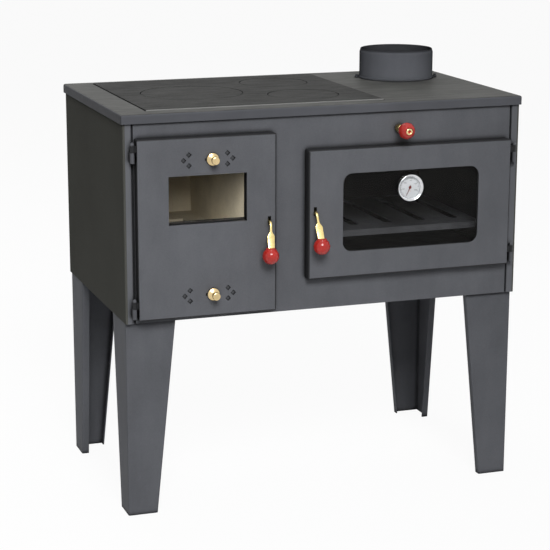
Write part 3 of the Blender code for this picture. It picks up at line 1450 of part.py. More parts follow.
def make_thermometer(glass_front, door_pivot):
    """Dial thermometer: a funnelled cup with its stem through the pane, a needle on its post and a lens."""
    stem_end = -(GLASS + GAUGE_STEM_LENGTH)
    inner = GAUGE_RADIUS - GAUGE_RIM
    profile = [
        (0, GAUGE_DIAL_FROM + GAUGE_POST_HEIGHT),
        (GAUGE_POST, GAUGE_DIAL_FROM + GAUGE_POST_HEIGHT),
        (GAUGE_POST, GAUGE_DIAL_FROM),
        (inner, GAUGE_DIAL_FROM),
        (inner, GAUGE_DEPTH - GAUGE_FUNNEL),
        (GAUGE_RADIUS - GAUGE_LIP, GAUGE_DEPTH),
        (GAUGE_RADIUS - SINK, GAUGE_DEPTH),
        (GAUGE_RADIUS, GAUGE_DEPTH - SINK),
        (GAUGE_RADIUS, 0),
        (GAUGE_STEM, 0),
        (GAUGE_STEM, stem_end),
        (0, stem_end),
    ]
    place = (GAUGE_X, glass_front, GAUGE_HEIGHT)
    turned("thermometer_case", profile, CHROME, place, door_pivot, FACING_FRONT)
    back = glass_front - GAUGE_DIAL_FROM - GAUGE_POST_HEIGHT - GAP
    pivot = empty("thermometer_needle_pivot", (GAUGE_X, back, GAUGE_HEIGHT), door_pivot)
    front = back - NEEDLE_THICK
    half, tip = NEEDLE_WIDTH / 2, NEEDLE_TIP / 2
    hand = slab(
        [[(-half, -NEEDLE_TAIL), (half, -NEEDLE_TAIL), (tip, NEEDLE_LENGTH), (-tip, NEEDLE_LENGTH)]],
        front,
        back,
        "XZ",
    )
    spin = Matrix.Rotation(math.radians(-NEEDLE_REST), 4, Vector((0, -1, 0)))
    hand.transform(Matrix.Translation((GAUGE_X, 0, GAUGE_HEIGHT)) @ spin)
    needle = piece("thermometer_needle", [hand], DIAL, pivot)
    hub_front = (GAUGE_X, front - NEEDLE_THICK, GAUGE_HEIGHT)
    hub_back = (GAUGE_X, back, GAUGE_HEIGHT)
    join(needle, rod(hub_front, hub_back, NEEDLE_HUB))
    lens_front = glass_front - GAUGE_DEPTH + GAUGE_FUNNEL
    start = (GAUGE_X, lens_front, GAUGE_HEIGHT)
    end = (GAUGE_X, lens_front + GAUGE_LENS, GAUGE_HEIGHT)
    piece("thermometer_lens", [rod(start, end, inner - GAP, TURNED_STEPS)], GLASS_LOOK, door_pivot)


def air_plate_ends():
    """Left and right end of an air slide at rest: its holes stand one travel beside the door's."""
    reach = AIR_HOLE_FAR + AIR_HOLE_HALF + AIR_PLATE_MARGIN
    return AIR_CENTRE - reach, AIR_CENTRE + AIR_TRAVEL + reach


def air_rails(height):
    """The two angle rails that hold an air slide against the door's skin, as long as the slide's run."""
    left, right = air_plate_ends()
    back = DOOR_SKIN + GAP + AIR_PLATE + GAP
    feet = []
    lips = []
    for side in (-1, 1):
        foot = height + side * (AIR_PLATE_TALL_HALF + SLIDE)
        top = foot + side * AIR_RAIL
        heights = sorted((foot, top))
        rear = back + AIR_RAIL_LIP
        feet.append(block((left - AIR_TRAVEL, DOOR_SKIN - SINK, heights[0]), (right, rear, heights[1])))
        heights = sorted((foot - side * (SLIDE + AIR_RAIL_LAP), foot + side * AIR_RAIL / 2))
        lips.append(block((left - AIR_TRAVEL + GAP, back, heights[0]), (right - GAP, rear, heights[1])))
    return feet, lips


def air_holes(height, front, back, shift):
    """Three diamond holes to each side of an air knob."""
    holes = []
    for across, up in AIR_HOLE_PLACES:
        for side in (-1, 1):
            x = AIR_CENTRE + shift + side * across
            holes.append(slab([diamond(x, height + up, AIR_HOLE_HALF)], front, back, "XZ"))
    return holes


def make_air_control(name, height, door_pivot):
    """Air slide behind the door's skin, shut at rest, with the knob that moves it to the left."""
    pivot = empty(f"{name}_axis", (AIR_KNOB_X, DOOR_FACE, height), door_pivot)
    front = DOOR_SKIN + GAP
    back = front + AIR_PLATE
    left, right = air_plate_ends()
    low = (left, front, height - AIR_PLATE_TALL_HALF)
    high = (right, back, height + AIR_PLATE_TALL_HALF)
    plate = piece(f"{name}_slide", [block(low, high)], STEEL, pivot)
    cut(
        plate,
        *air_holes(height, front - OVERRUN, back + OVERRUN, AIR_TRAVEL),
        rod((AIR_KNOB_X, front - OVERRUN, height), (AIR_KNOB_X, back + OVERRUN, height), AIR_SPINDLE + GAP),
    )
    profile = [
        (0, AIR_REACH),
        (AIR_CAP - AIR_CAP_EDGE, AIR_REACH),
        (AIR_CAP, AIR_REACH - AIR_CAP_EDGE),
        (AIR_CAP, AIR_CAP_FROM + AIR_CAP_EDGE),
        (AIR_NECK, AIR_CAP_FROM),
        (AIR_NECK, AIR_NECK_FROM),
        (AIR_DISC - SINK, GAP + AIR_DISC_THICK),
        (AIR_DISC, GAP + AIR_DISC_THICK - SINK),
        (AIR_DISC, GAP),
        (AIR_SPINDLE, GAP),
        (AIR_SPINDLE, -(DOOR_SHEET + GAP + AIR_PLATE)),
        (0, -(DOOR_SHEET + GAP + AIR_PLATE)),
    ]
    place = (AIR_KNOB_X, DOOR_FACE, height)
    turned(f"{name}_knob", profile, BRASS, place, pivot, FACING_FRONT, KNOB_STEPS)


def lever_sections():
    """Distance behind the pivot, height over it, turn, width and height of each section of a lever."""
    for behind, over, width, tall in HOOK_SHARES:
        yield behind * LEVER_HOOK, over * LEVER_TALL, 0, width * LEVER_ARM, tall * LEVER_TALL
    for out, down, turn, width, thick in BLADE_SHARES:
        yield -out * LEVER_REACH, -down * LEVER_DROP, turn, width * LEVER_BLADE, thick * LEVER_SHEET


def lever_shape(x, height, lean):
    """The lever, lofted through its sections: hook and arm in the door, then neck, shoulders and blade."""
    shape = bmesh.new()
    rings = []
    for behind, over, slope, width, thick in lever_sections():
        angle = math.radians(slope)
        across = Vector((width / 2, 0, 0))
        through = Vector((0, -math.sin(angle), math.cos(angle))) * (thick / 2)
        drop = max(0.0, -over)
        middle = Vector((x + lean * drop / BALL_DROP, LATCH_Y + behind, height + over))
        high = (middle + across + through, middle - across + through)
        low = (middle - across - through, middle + across - through)
        rings.append([shape.verts.new(corner) for corner in high + low])
    for first, second in zip(rings, rings[1:]):
        for index in range(4):
            after = (index + 1) % 4
            shape.faces.new((first[index], first[after], second[after], second[index]))
    shape.faces.new(rings[0][::-1])
    shape.faces.new(rings[-1])
    bmesh.ops.recalc_face_normals(shape, faces=shape.faces)
    return shape


def make_latch(prefix, x, height, lean_side, door_pivot):
    """Drop latch: a bracket with its pin behind the door's skin, the lever through the slot and its ball."""
    ear = LATCH_SLOT_HALF + LATCH_EAR
    front = DOOR_SKIN + GAP
    bracket = piece(
        f"{prefix}_latch_bracket",
        [
            block(
                (x - ear, front, height - LATCH_EAR_DOWN),
                (x + ear, LATCH_Y + LATCH_EAR_BACK, height + LATCH_EAR_UP),
            )
        ],
        STEEL,
        door_pivot,
    )
    cut(
        bracket,
        block(
            (x - LATCH_SLOT_HALF, front + LATCH_BASE, height - LATCH_EAR_DOWN - OVERRUN),
            (x + LATCH_SLOT_HALF, LATCH_Y + LATCH_EAR_BACK + OVERRUN, height + LATCH_EAR_UP + OVERRUN),
        ),
    )
    cut(
        bracket,
        block(
            (x - LATCH_SLOT_HALF, front - OVERRUN, height - LATCH_SLOT_DOWN),
            (x + LATCH_SLOT_HALF, front + LATCH_BASE + SINK, height + LATCH_SLOT_UP),
        ),
    )
    join(bracket, rod((x - ear, LATCH_Y, height), (x + ear, LATCH_Y, height), LATCH_PIN))
    pivot = empty(f"{prefix}_latch_pivot", (x, LATCH_Y, height), door_pivot)
    lean = lean_side * LATCH_LEAN
    lever = piece(f"{prefix}_latch_lever", [lever_shape(x, height, lean)], BRASS, pivot)
    cut(lever, rod((x - ear, LATCH_Y, height), (x + ear, LATCH_Y, height), LATCH_PIN + RUN))
    profile = [(0, BALL_SEAT), (BALL_COLLAR, BALL_SEAT)]
    start = math.degrees(math.acos(BALL_COLLAR / BALL_RADIUS))
    end = math.degrees(math.acos(BALL_RECESS / BALL_RADIUS))
    profile += arc(0, 0, BALL_RADIUS, start, -end, 8)
    profile += [(BALL_RECESS, BALL_RECESS_DEPTH - BALL_MOUTH), (0, BALL_RECESS_DEPTH - BALL_MOUTH)]
    place = (x + lean, BALL_Y, height - BALL_DROP)
    turned(f"{prefix}_latch_knob", profile, RED, place, pivot, steps=KNOB_STEPS)


make_casing()
make_legs()
make_hob()
make_cooking_plate()
make_firebox()
make_oven()
make_flue_wall()
make_damper()
make_fire_door()
make_oven_door()
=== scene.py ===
"""Wood-burning kitchen stove: finishes, fine pieces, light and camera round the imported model."""

import json
import math

import bmesh
import bpy
from mathutils import Matrix, Vector

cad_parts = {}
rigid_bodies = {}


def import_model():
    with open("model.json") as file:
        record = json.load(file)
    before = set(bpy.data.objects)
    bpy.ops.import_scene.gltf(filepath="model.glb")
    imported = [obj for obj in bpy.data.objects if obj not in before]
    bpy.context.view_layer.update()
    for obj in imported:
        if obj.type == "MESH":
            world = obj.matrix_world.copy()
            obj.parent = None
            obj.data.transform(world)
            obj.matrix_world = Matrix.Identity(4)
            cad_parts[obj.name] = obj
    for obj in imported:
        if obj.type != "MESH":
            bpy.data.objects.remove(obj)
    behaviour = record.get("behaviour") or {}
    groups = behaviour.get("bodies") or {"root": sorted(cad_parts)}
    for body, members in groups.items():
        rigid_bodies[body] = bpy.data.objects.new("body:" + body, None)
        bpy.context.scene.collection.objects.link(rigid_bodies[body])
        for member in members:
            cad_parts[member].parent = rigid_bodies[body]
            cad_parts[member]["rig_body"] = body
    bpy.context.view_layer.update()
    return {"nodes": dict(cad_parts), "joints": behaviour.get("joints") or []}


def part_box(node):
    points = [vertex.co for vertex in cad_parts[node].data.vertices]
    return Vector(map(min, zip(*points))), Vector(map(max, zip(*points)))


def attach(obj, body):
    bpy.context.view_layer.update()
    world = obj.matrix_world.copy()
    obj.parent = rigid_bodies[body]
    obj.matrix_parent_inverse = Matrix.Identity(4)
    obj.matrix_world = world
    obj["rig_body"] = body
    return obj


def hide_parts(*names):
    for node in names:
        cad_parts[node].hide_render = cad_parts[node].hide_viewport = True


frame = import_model()
MM = 0.001
BACK = Vector((0, 1, 0))
HOB_TOP = 0.76
SIDE_FACE = 0.3872  # how far out the side sheets' outer faces start
LIP_END = 0.3938  # how far out the hob's lip turns down at its ends
KNOB_REACH = 0.0518  # how far the knobs stand out before the hob
AMBIENT = 0.26  # the white surroundings' strength as a light, where the camera sees 1
FLOOR_GLOW = 0.94  # how much of the floor's white is its own
BODY_OF = {name: node["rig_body"] for name, node in frame["nodes"].items()}
PIVOT = {joint["name"]: Vector(joint["pos_m"]) for joint in frame["joints"] if "pos_m" in joint}


def linear(red, green, blue):
    """A colour given as 0 to 255, as the shaders take it."""
    tone = []
    for share in (red / 255, green / 255, blue / 255):
        tone.append(share / 12.92 if share <= 0.04045 else ((share + 0.055) / 1.055) ** 2.4)
    return tone


class Value:
    """A socket in a finish's nodes. Arithmetic on it adds Math nodes."""

    def __init__(self, finish, socket):
        self.finish = finish
        self.socket = socket

    def math(self, operation, other):
        return self.finish.node("ShaderNodeMath", {"operation": operation}, {0: self, 1: other})

    def __add__(self, other):
        return self.math("ADD", other)

    def __sub__(self, other):
        return self.math("SUBTRACT", other)

    def __mul__(self, other):
        return self.math("MULTIPLY", other)

    def __pow__(self, other):
        return self.math("POWER", other)

    def most(self, other):
        return self.math("MAXIMUM", other)


class Finish:
    """A material whose look is worked out from where a point lies on the stove, in metres."""

    def __init__(self, name, **constants):
        self.material = bpy.data.materials.new(name)
        self.material.use_nodes = True
        self.tree = self.material.node_tree
        self.shader = self.tree.nodes["Principled BSDF"]
        for socket, value in constants.items():
            self.shader.inputs[socket.replace("_", " ")].default_value = value
        self.place = self.node("ShaderNodeTexCoord", output="Object")

    def node(self, kind, settings=None, inputs=None, output=0):
        """Adds a node: its settings first, then the values or links of its sockets."""
        made = self.tree.nodes.new(kind)
        for setting, value in (settings or {}).items():
            setattr(made, setting, value)
        for socket, value in (inputs or {}).items():
            self.feed(made.inputs[socket], value)
        return Value(self, made.outputs[output])

    def feed(self, socket, value):
        """Links a value to a socket, or sets the socket to a plain number or colour."""
        if isinstance(value, Value):
            self.tree.links.new(value.socket, socket)
        elif hasattr(value, "__len__") and len(value) == 3 and socket.type == "RGBA":
            socket.default_value = (*value, 1)
        else:
            socket.default_value = value

    def set(self, **sockets):
        """Feeds the shader's own sockets."""
        for socket, value in sockets.items():
            self.feed(self.shader.inputs[socket.replace("_", " ")], value)
        return self

    def noise(self, x, y=None, z=None, detail=3.0, roughness=0.55):
        """Noise with this many turns per metre along each axis."""
        turns = {0: self.place, 1: (x, y or x, z or x)}
        where = self.node("ShaderNodeVectorMath", {"operation": "MULTIPLY"}, turns)
        inputs = {"Vector": where, "Scale": 1.0, "Detail": detail, "Roughness": roughness}
        return self.node("ShaderNodeTexNoise", None, inputs)

    def along(self, axis):
        """The point's own x, y or z in metres."""
        return self.node("ShaderNodeSeparateXYZ", None, {0: self.place}, output=axis)

    def away(self, axis, middle=0.0):
        """How far the point lies from a middle along one axis, to either side."""
        off = self.along(axis) - middle
        return off.most(off * -1)

    def span(self, value, low, high, to_low=0.0, to_high=1.0):
        """Maps a value from one range to another, held at the ends."""
        names = ("Value", "From Min", "From Max", "To Min", "To Max")
        inputs = dict(zip(names, (value, low, high, to_low, to_high)))
        return self.node("ShaderNodeMapRange", {"clamp": True}, inputs)

    def blend(self, share, first, second):
        """One colour turning into another as share goes from 0 to 1."""
        inputs = {0: share, 6: first, 7: second}
        return self.node("ShaderNodeMix", {"data_type": "RGBA"}, inputs, output=2)

    def edges(self, radius):
        """One along the edges of a shape, and nought away from them."""
        rounded = self.node("ShaderNodeBevel", {"samples": 8}, {"Radius": radius})
        flat = self.node("ShaderNodeNewGeometry", output="True Normal")
        inputs = {0: rounded, 1: flat}
        alike = self.node("ShaderNodeVectorMath", {"operation": "DOT_PRODUCT"}, inputs, "Value")
        return self.span(alike, 0.97, 0.8)

    def gap_shaded(self, tone, reach=0.011, least=0.12):
        """A tone that darkens in narrow gaps and corners: painted shade."""
        inputs = {"Distance": reach}
        open_share = self.node("ShaderNodeAmbientOcclusion", {"samples": 8}, inputs, "AO")
        return self.blend(self.span(open_share, 0.5, 0.92, least, 1.0), SOOT_AND_SHADE, tone)

    def bump(self, height, depth, edge=0.0):
        """A relief in metres, and the radius by which sharp edges look broken."""
        inputs = {"Height": height, "Distance": depth}
        if edge:
            inputs["Normal"] = self.node("ShaderNodeBevel", {"samples": 6}, {"Radius": edge})
        return self.set(Normal=self.node("ShaderNodeBump", None, inputs))


# Worn iron's colour, also used as a painted highlight on iron edges.
WORN_IRON_AND_HIGHLIGHT = linear(150, 150, 148)
# Near black for the soot in the collar's bore, and for the painted shade in gaps and corners.
SOOT_AND_SHADE = (0.004, 0.004, 0.004)
# Near black for painted shade on the door returns and on the hob lip's ends.
PAINTED_SHADE = (0.006, 0.006, 0.006)


def spread_of(colour, dark, light):
    """A darker and a lighter tone of one colour."""
    return [channel * dark for channel in colour], [min(1.0, channel * light) for channel in colour]


def enamel(name, colour, roughness=0.5, sheen=0.14, folded=None, door=None, bore=None):
    """Heat-proof paint on sheet: orange peel, cloudy patches, painted highlights along the edges,
    and painted shade in gaps and corners.

    folded gives the colour of the sheet's outer side, darker than its fold as painted shade, and
    how far out that side starts, left and right.
    door names a door's skin: its outer bends and the returns behind its face are painted dark as
    painted shade.
    bore gives the middle and the radius of a tube that soot has blackened inside.
    """
    finish = Finish(name, Specular_IOR_Level=sheen)
    clouds = finish.noise(7, detail=4)
    wiped = finish.noise(30, 30, 9, detail=3)
    specks = finish.noise(900, detail=1)
    shade = finish.span(clouds * 0.45 + wiped * 0.25 + specks * 0.3, 0.36, 0.64)
    tone = finish.blend(shade, *spread_of(colour, 0.84, 1.17))
    if folded:
        # Painted shade: the sheet's outer side takes the darker colour.
        outer, reach = folded
        tone = finish.blend(finish.span(finish.away("X"), reach, reach + 0.0004), tone, outer)
        dust = finish.span(specks * 0.5 + clouds * 0.5, 0.4, 0.6)
        tone = finish.blend(dust * 0.12, tone, (0, 0, 0))
    # Painted highlight: the paint turns lighter along the edges.
    tone = finish.blend(finish.edges(0.0009) * 0.3, tone, spread_of(colour, 1, 1.9)[1])
    # Painted shade on the door's outer bends and on the returns behind its face.
    if door:
        low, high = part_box(door)
        edge_band = finish.span(finish.along("Y"), low.y + 0.0018, low.y + 0.0034)
        for axis, near, far, wide in (("X", low.x, high.x, 0.0036), ("Z", low.z, high.z, 0.0028)):
            edge = (far - near) / 2 - wide
            bend = finish.span(finish.away(axis, (near + far) / 2), edge, edge + 0.0012)
            edge_band = edge_band.most(bend)
        tone = finish.blend(edge_band * 0.85, tone, PAINTED_SHADE)
    if bore:
        centre, radius = bore
        x, y = finish.along("X") - centre.x, finish.along("Y") - centre.y
        inside = finish.span((x * x + y * y) ** 0.5, radius, radius + 0.0004, 1.0, 0.0)
        tone = finish.blend(inside * 0.6, tone, SOOT_AND_SHADE)
    rough = finish.span(clouds, 0.3, 0.7, roughness - 0.05, roughness + 0.08)
    # Painted shade in gaps and corners.
    finish.set(Base_Color=finish.gap_shaded(tone), Roughness=rough)
    return finish.bump(finish.noise(700, detail=2), 0.00003, edge=0.0005)


def brushed(name, colour, lip):
    """Hob sheet brushed along its length on top, with the casing's paint on its lip; painted shade
    on the lip's ends and in gaps, and a painted highlight along its edges.
    """
    finish = Finish(name, Specular_IOR_Level=0.03)
    fine = finish.noise(26, 620, 620, detail=3)
    strokes = finish.noise(13, 80, 80, detail=5, roughness=0.75)
    clouds = finish.noise(6, detail=3)
    shade = finish.span(fine * 0.25 + strokes * 0.6 + clouds * 0.15, 0.42, 0.58)
    top = finish.blend(shade, *spread_of(colour, 0.66, 1.42))
    paint = finish.blend(finish.span(clouds, 0.35, 0.65), *spread_of(lip, 0.9, 1.1))
    # Painted shade on the lip's ends, which face left and right.
    ends = finish.span(finish.away("X"), LIP_END, LIP_END + 0.0008)
    paint = finish.blend(ends * 0.42, paint, PAINTED_SHADE)
    height = finish.span(finish.along("Z"), HOB_TOP - 0.0012, HOB_TOP - 0.0004)
    tone = finish.blend(height, paint, top)
    # Painted highlight: lighter along the edges.
    tone = finish.blend(finish.edges(0.0006) * 0.3, tone, spread_of(lip, 1, 1.7)[1])
    grain = fine * 0.5 + strokes * 0.5
    rough = finish.span(grain, 0.3, 0.7, 0.44, 0.6)
    # Painted shade in gaps and corners.
    finish.set(Base_Color=finish.gap_shaded(tone, 0.004, 0.2), Roughness=rough)
    return finish.bump(grain, 0.00006, edge=0.0004)


def casting(name, colour, roughness=0.55, ground=None):
    """Ground and blackened iron: pores, grinding lines along its length, burnt patches, worn edges
    that double as painted highlights, and painted shade in gaps.

    ground is how far back its front edge lies: a narrow band there takes worn iron's colour, as
    ground iron and as a painted highlight.
    """
    finish = Finish(name, Specular_IOR_Level=0.01)
    pores = finish.noise(300, detail=3)
    strokes = finish.noise(14, 75, 75, detail=5, roughness=0.75)
    clouds = finish.noise(9, detail=4)
    shade = finish.span(clouds * 0.2 + pores * 0.2 + strokes * 0.6, 0.42, 0.58)
    tone = finish.blend(shade, *spread_of(colour, 0.7, 1.32))
    # Worn iron along the edges, which also stands as a painted highlight.
    tone = finish.blend(finish.edges(0.0009) * 0.35, tone, WORN_IRON_AND_HIGHLIGHT)
    # Painted shade in gaps and corners.
    tone = finish.gap_shaded(tone, 0.005, 0.05)
    if ground is not None:
        # A narrow band along the front edge in worn iron's colour, partly a painted highlight.
        edge_band = finish.span(finish.along("Y"), ground + 0.0022, ground + 0.0014)
        tone = finish.blend(edge_band * 0.6, tone, WORN_IRON_AND_HIGHLIGHT)
    rough = finish.span(pores, 0.3, 0.7, roughness - 0.08, roughness + 0.1)
    finish.set(Base_Color=tone, Roughness=rough)
    return finish.bump(pores * 0.5 + strokes * 0.5, 0.0001, edge=0.0005)


def rolled(name, colour, roughness=0.6):
    """Bare black rolled steel, with soft scale marks."""
    finish = Finish(name, Metallic=0.4, Specular_IOR_Level=0.3)
    scale = finish.noise(40, detail=5)
    fine = finish.noise(700, detail=2)
    shade = finish.span(scale * 0.6 + fine * 0.4, 0.35, 0.65)
    rough = finish.span(scale, 0.3, 0.7, roughness - 0.1, roughness + 0.12)
    finish.set(Base_Color=finish.blend(shade, *spread_of(colour, 0.7, 1.35)), Roughness=rough)
    return finish.bump(fine, 0.00004)


def fireclay(name, colour):
    """Pressed refractory board: sandy, speckled, and darker towards its top, mostly painted shade
    with some soot.
    """
    finish = Finish(name, Specular_IOR_Level=0.2)
    sand = finish.noise(900, detail=2)
    patches = finish.noise(16, detail=5)
    # Painted shade: darker towards the top.
    top_shade = finish.span(finish.along("Z"), 0.56, 0.69) * 0.35
    shade = finish.span(sand * 0.5 + patches * 0.5, 0.36, 0.64)
    body = finish.blend(shade, *spread_of(colour, 0.8, 1.15))
    shaded_tone = spread_of(colour, 0.35, 1)[0]
    finish.set(Base_Color=finish.blend(top_shade, body, shaded_tone), Roughness=0.92)
    return finish.bump(sand * 0.6 + patches * 0.4, 0.0003)


def pane(name, alpha):
    """Ceramic glass, thin and clear, with a little tint."""
    finish = Finish(name, Specular_IOR_Level=0.5, IOR=1.5)
    haze = finish.noise(12, detail=4)
    finish.set(
        Base_Color=finish.blend(haze, (0.010, 0.010, 0.010), (0.022, 0.020, 0.017)),
        Roughness=finish.span(haze, 0.3, 0.7, 0.03, 0.07),
        Alpha=finish.span(haze, 0.3, 0.7, alpha * 0.8, alpha * 1.2),
    )
    return finish


def plaited(name, colour):
    """Glass-fibre yarn: fine plies that cross at a slant."""
    finish = Finish(name, Specular_IOR_Level=0.25)
    x, y, z = finish.along("X"), finish.along("Y"), finish.along("Z")
    run = (x + z) * 900
    turn = (x - z) * 620 + y * 900
    weave = finish.node("ShaderNodeMath", {"operation": "SINE"}, {0: run + turn})
    cross = finish.node("ShaderNodeMath", {"operation": "SINE"}, {0: run - turn})
    plies = finish.span(weave.most(cross), -0.2, 1.0)
    finish.set(Base_Color=finish.blend(plies, *spread_of(colour, 0.45, 1.25)), Roughness=0.95)
    return finish.bump(plies, 0.0004)


def polished(name, colour, roughness):
    """Bright metal with fine handling marks."""
    finish = Finish(name, Metallic=1.0)
    scratches = finish.noise(260, 1800, 700, detail=2)
    clouds = finish.noise(90, detail=3)
    marks = scratches * 0.5 + clouds * 0.5
    finish.set(
        Base_Color=finish.blend(finish.span(clouds, 0.3, 0.7), *spread_of(colour, 0.86, 1.1)),
        Roughness=finish.span(marks, 0.3, 0.7, roughness - 0.03, roughness + 0.06),
    )
    return finish.bump(scratches, 0.00001)


def glossy(name, colour):
    """Moulded glossy plastic with a trace of flow marks."""
    finish = Finish(name, Specular_IOR_Level=0.4)
    flow = finish.noise(60, detail=3)
    finish.set(
        Base_Color=finish.blend(finish.span(flow, 0.3, 0.7), *spread_of(colour, 0.85, 1.1)),
        Roughness=finish.span(flow, 0.3, 0.7, 0.12, 0.2),
    )
    return finish.bump(flow, 0.00003)


def printed(name, colour):
    """Printed card or paint on a dial."""
    finish = Finish(name, Specular_IOR_Level=0.4)
    fibre = finish.noise(2500, detail=2)
    finish.set(
        Base_Color=finish.blend(finish.span(fibre, 0.3, 0.7), *spread_of(colour, 0.95, 1)),
        Roughness=finish.span(fibre, 0.3, 0.7, 0.45, 0.55),
    )
    return finish.bump(fibre, 0.000005)


FRONT_TONE = linear(88, 89, 93)
# Darker tone painted on the side sheets' outer faces: painted shade.
SHADED_SIDE_TONE = linear(78, 78, 74)
CAST_TONE = linear(58, 58, 57)
FRONT_ENAMEL = enamel("front_enamel", FRONT_TONE)
FIRE_DOOR_ENAMEL = enamel("fire_door_enamel", FRONT_TONE, door="fire_door_panel")
OVEN_DOOR_ENAMEL = enamel("oven_door_enamel", FRONT_TONE, door="oven_door_panel")
# The slides' paint is a little darker than the doors': painted shade seen through the doors' air
# holes.
SLIDE_ENAMEL = enamel("slide_enamel", linear(84, 85, 88))
SIDE_SHADE = (SHADED_SIDE_TONE, SIDE_FACE)
# The side sheets' front folds are painted lighter than the front's paint: painted light against the
# shade at the corners.
SIDE_ENAMEL = enamel("side_enamel", linear(100, 101, 105), sheen=0.0, folded=SIDE_SHADE)
LEG_ENAMEL = enamel("leg_enamel", FRONT_TONE, sheen=0.02)
HINGE_ENAMEL = enamel("hinge_enamel", linear(80, 81, 85), 0.42)
HOB_ENAMEL = brushed("hob_enamel", linear(74, 74, 72), linear(82, 83, 87))
COLLAR_BORE = (sum(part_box("flue_collar"), Vector()) / 2, 0.0735)
COLLAR_ENAMEL = enamel("collar_enamel", linear(54, 55, 58), 0.42, sheen=0.0, bore=COLLAR_BORE)
PLATE_IRON = casting("plate_iron", CAST_TONE, ground=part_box("cooking_plate")[0].y)
LID_IRON = casting("lid_iron", CAST_TONE)
GRATE_IRON = casting("grate_iron", linear(62, 60, 56), 0.7)
BLACK_STEEL = rolled("black_steel", linear(40, 40, 41))
RACK_STEEL = rolled("rack_steel", linear(78, 79, 82), 0.5)
OVEN_STEEL = rolled("oven_steel", linear(26, 26, 27), 0.7)
BRICK = fireclay("brick", linear(224, 214, 190))
FIRE_PANE = pane("fire_pane", 0.04)
OVEN_PANE = pane("oven_pane", 0.10)
LENS = pane("lens", 0.04)
SEAL_ROPE = plaited("seal_rope", linear(150, 148, 140))
LEVER_BRASS = polished("lever_brass", linear(236, 214, 148), 0.24)
KNOB_BRASS = polished("knob_brass", linear(222, 198, 150), 0.24)
FERRULE_BRASS = polished("ferrule_brass", linear(200, 176, 122), 0.25)
BOLT_ZINC = polished("bolt_zinc", linear(150, 150, 148), 0.35)
BRIGHT_STEEL = polished("bright_steel", linear(214, 215, 217), 0.16)
KNOB_RED = glossy("knob_red", linear(172, 38, 31))
DIAL_WHITE = printed("dial_white", linear(218, 220, 222))
DIAL_INK = printed("dial_ink", linear(58, 62, 68))
DIAL_RED = printed("dial_red", linear(206, 120, 100))
NEEDLE_RED = printed("needle_red", linear(112, 40, 34))

BRICK_NODES = ("firebrick_left", "firebrick_right", "firebrick_rear", "firebrick_floor")
FINISHES = {
    FRONT_ENAMEL: ("front_panel",),
    FIRE_DOOR_ENAMEL: ("fire_door_panel",),
    OVEN_DOOR_ENAMEL: ("oven_door_panel",),
    SLIDE_ENAMEL: ("upper_air_slide", "lower_air_slide"),
    SIDE_ENAMEL: ("left_side_panel", "right_side_panel", "back_panel", "bottom_panel"),
    LEG_ENAMEL: ("leg_front_left", "leg_front_right", "leg_rear_left", "leg_rear_right"),
    HINGE_ENAMEL: ("fire_hinge_upper", "fire_hinge_lower", "oven_hinge_upper", "oven_hinge_lower"),
    HOB_ENAMEL: ("hob_frame",),
    PLATE_IRON: ("cooking_plate",),
    LID_IRON: ("large_lid", "rear_lid", "front_lid"),
    GRATE_IRON: ("fire_grate", "log_guard"),
    BLACK_STEEL: (
        "firebox",
        "ash_pan",
        "flue_wall",
        "damper_slide",
        "fire_glass_frame",
        "oven_glass_frame",
        "fire_latch_bracket",
        "oven_latch_bracket",
    ),
    RACK_STEEL: ("oven_rack",),
    OVEN_STEEL: ("oven_box",),
    BRICK: BRICK_NODES,
    FIRE_PANE: ("fire_door_glass",),
    OVEN_PANE: ("oven_door_glass",),
    LENS: ("thermometer_lens",),
    NEEDLE_RED: ("thermometer_needle",),
}
for coat, coated in FINISHES.items():
    for coated_node in coated:
        for material_slot in frame["nodes"][coated_node].material_slots:
            material_slot.material = coat.material


def finished(name, shape, finish, node, replaced=True, crease=38):
    """Turns a shape in metres into a piece with a finish, which rides with a node or replaces it.

    It is smooth but for edges that bend by more than crease degrees.
    """
    bmesh.ops.recalc_face_normals(shape, faces=shape.faces)
    mesh = bpy.data.meshes.new(name)
    shape.to_mesh(mesh)
    shape.free()
    mesh.polygons.foreach_set("use_smooth", [True] * len(mesh.polygons))
    mesh.set_sharp_from_angle(angle=math.radians(crease))
    mesh.materials.append(finish.material)
    piece = bpy.data.objects.new(name, mesh)
    bpy.context.scene.collection.objects.link(piece)
    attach(piece, BODY_OF[node])
    if replaced:
        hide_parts(node)
    return piece


def turned(profile, steps=64, closed=False):
    """A profile of radius and height in millimetres, turned about Z."""
    shape = bmesh.new()
    rings = []
    for radius, height in profile:
        size, up = radius * MM, height * MM
        angles = [2 * math.pi * step / steps for step in range(steps if radius > 0 else 1)]
        ring = [(size * math.cos(angle), size * math.sin(angle), up) for angle in angles]
        rings.append([shape.verts.new(spot) for spot in ring])
    following = rings[1:] + (rings[:1] if closed else [])
    for first, second in zip(rings, following):
        for index in range(steps):
            after = (index + 1) % steps
            corners = (
                first[index % len(first)],
                second[index % len(second)],
                second[after % len(second)],
                first[after % len(first)],
            )
            shape.faces.new(list(dict.fromkeys(corners)))
    return shape


def arc(radius, height, size, start, end, steps):
    """Points of a profile along an arc about a middle, from one angle in degrees to another."""
    angles = [math.radians(start + (end - start) * step / steps) for step in range(steps + 1)]
    return [(radius + size * math.cos(a), height + size * math.sin(a)) for a in angles]


def moved(shape, place, facing_front=False):
    """Turns a shape's Z axis to the front if asked, and moves it to its place."""
    turn = Matrix.Rotation(math.pi / 2, 4, "X") if facing_front else Matrix.Identity(4)
    shape.transform(Matrix.Translation(place) @ turn)
    return shape


def merged(shapes):
    """Several shapes as one."""
    whole = bmesh.new()
    for shape in shapes:
        part = bpy.data.meshes.new("part")
        shape.to_mesh(part)
        shape.free()
        whole.from_mesh(part)
        bpy.data.meshes.remove(part)
    return whole


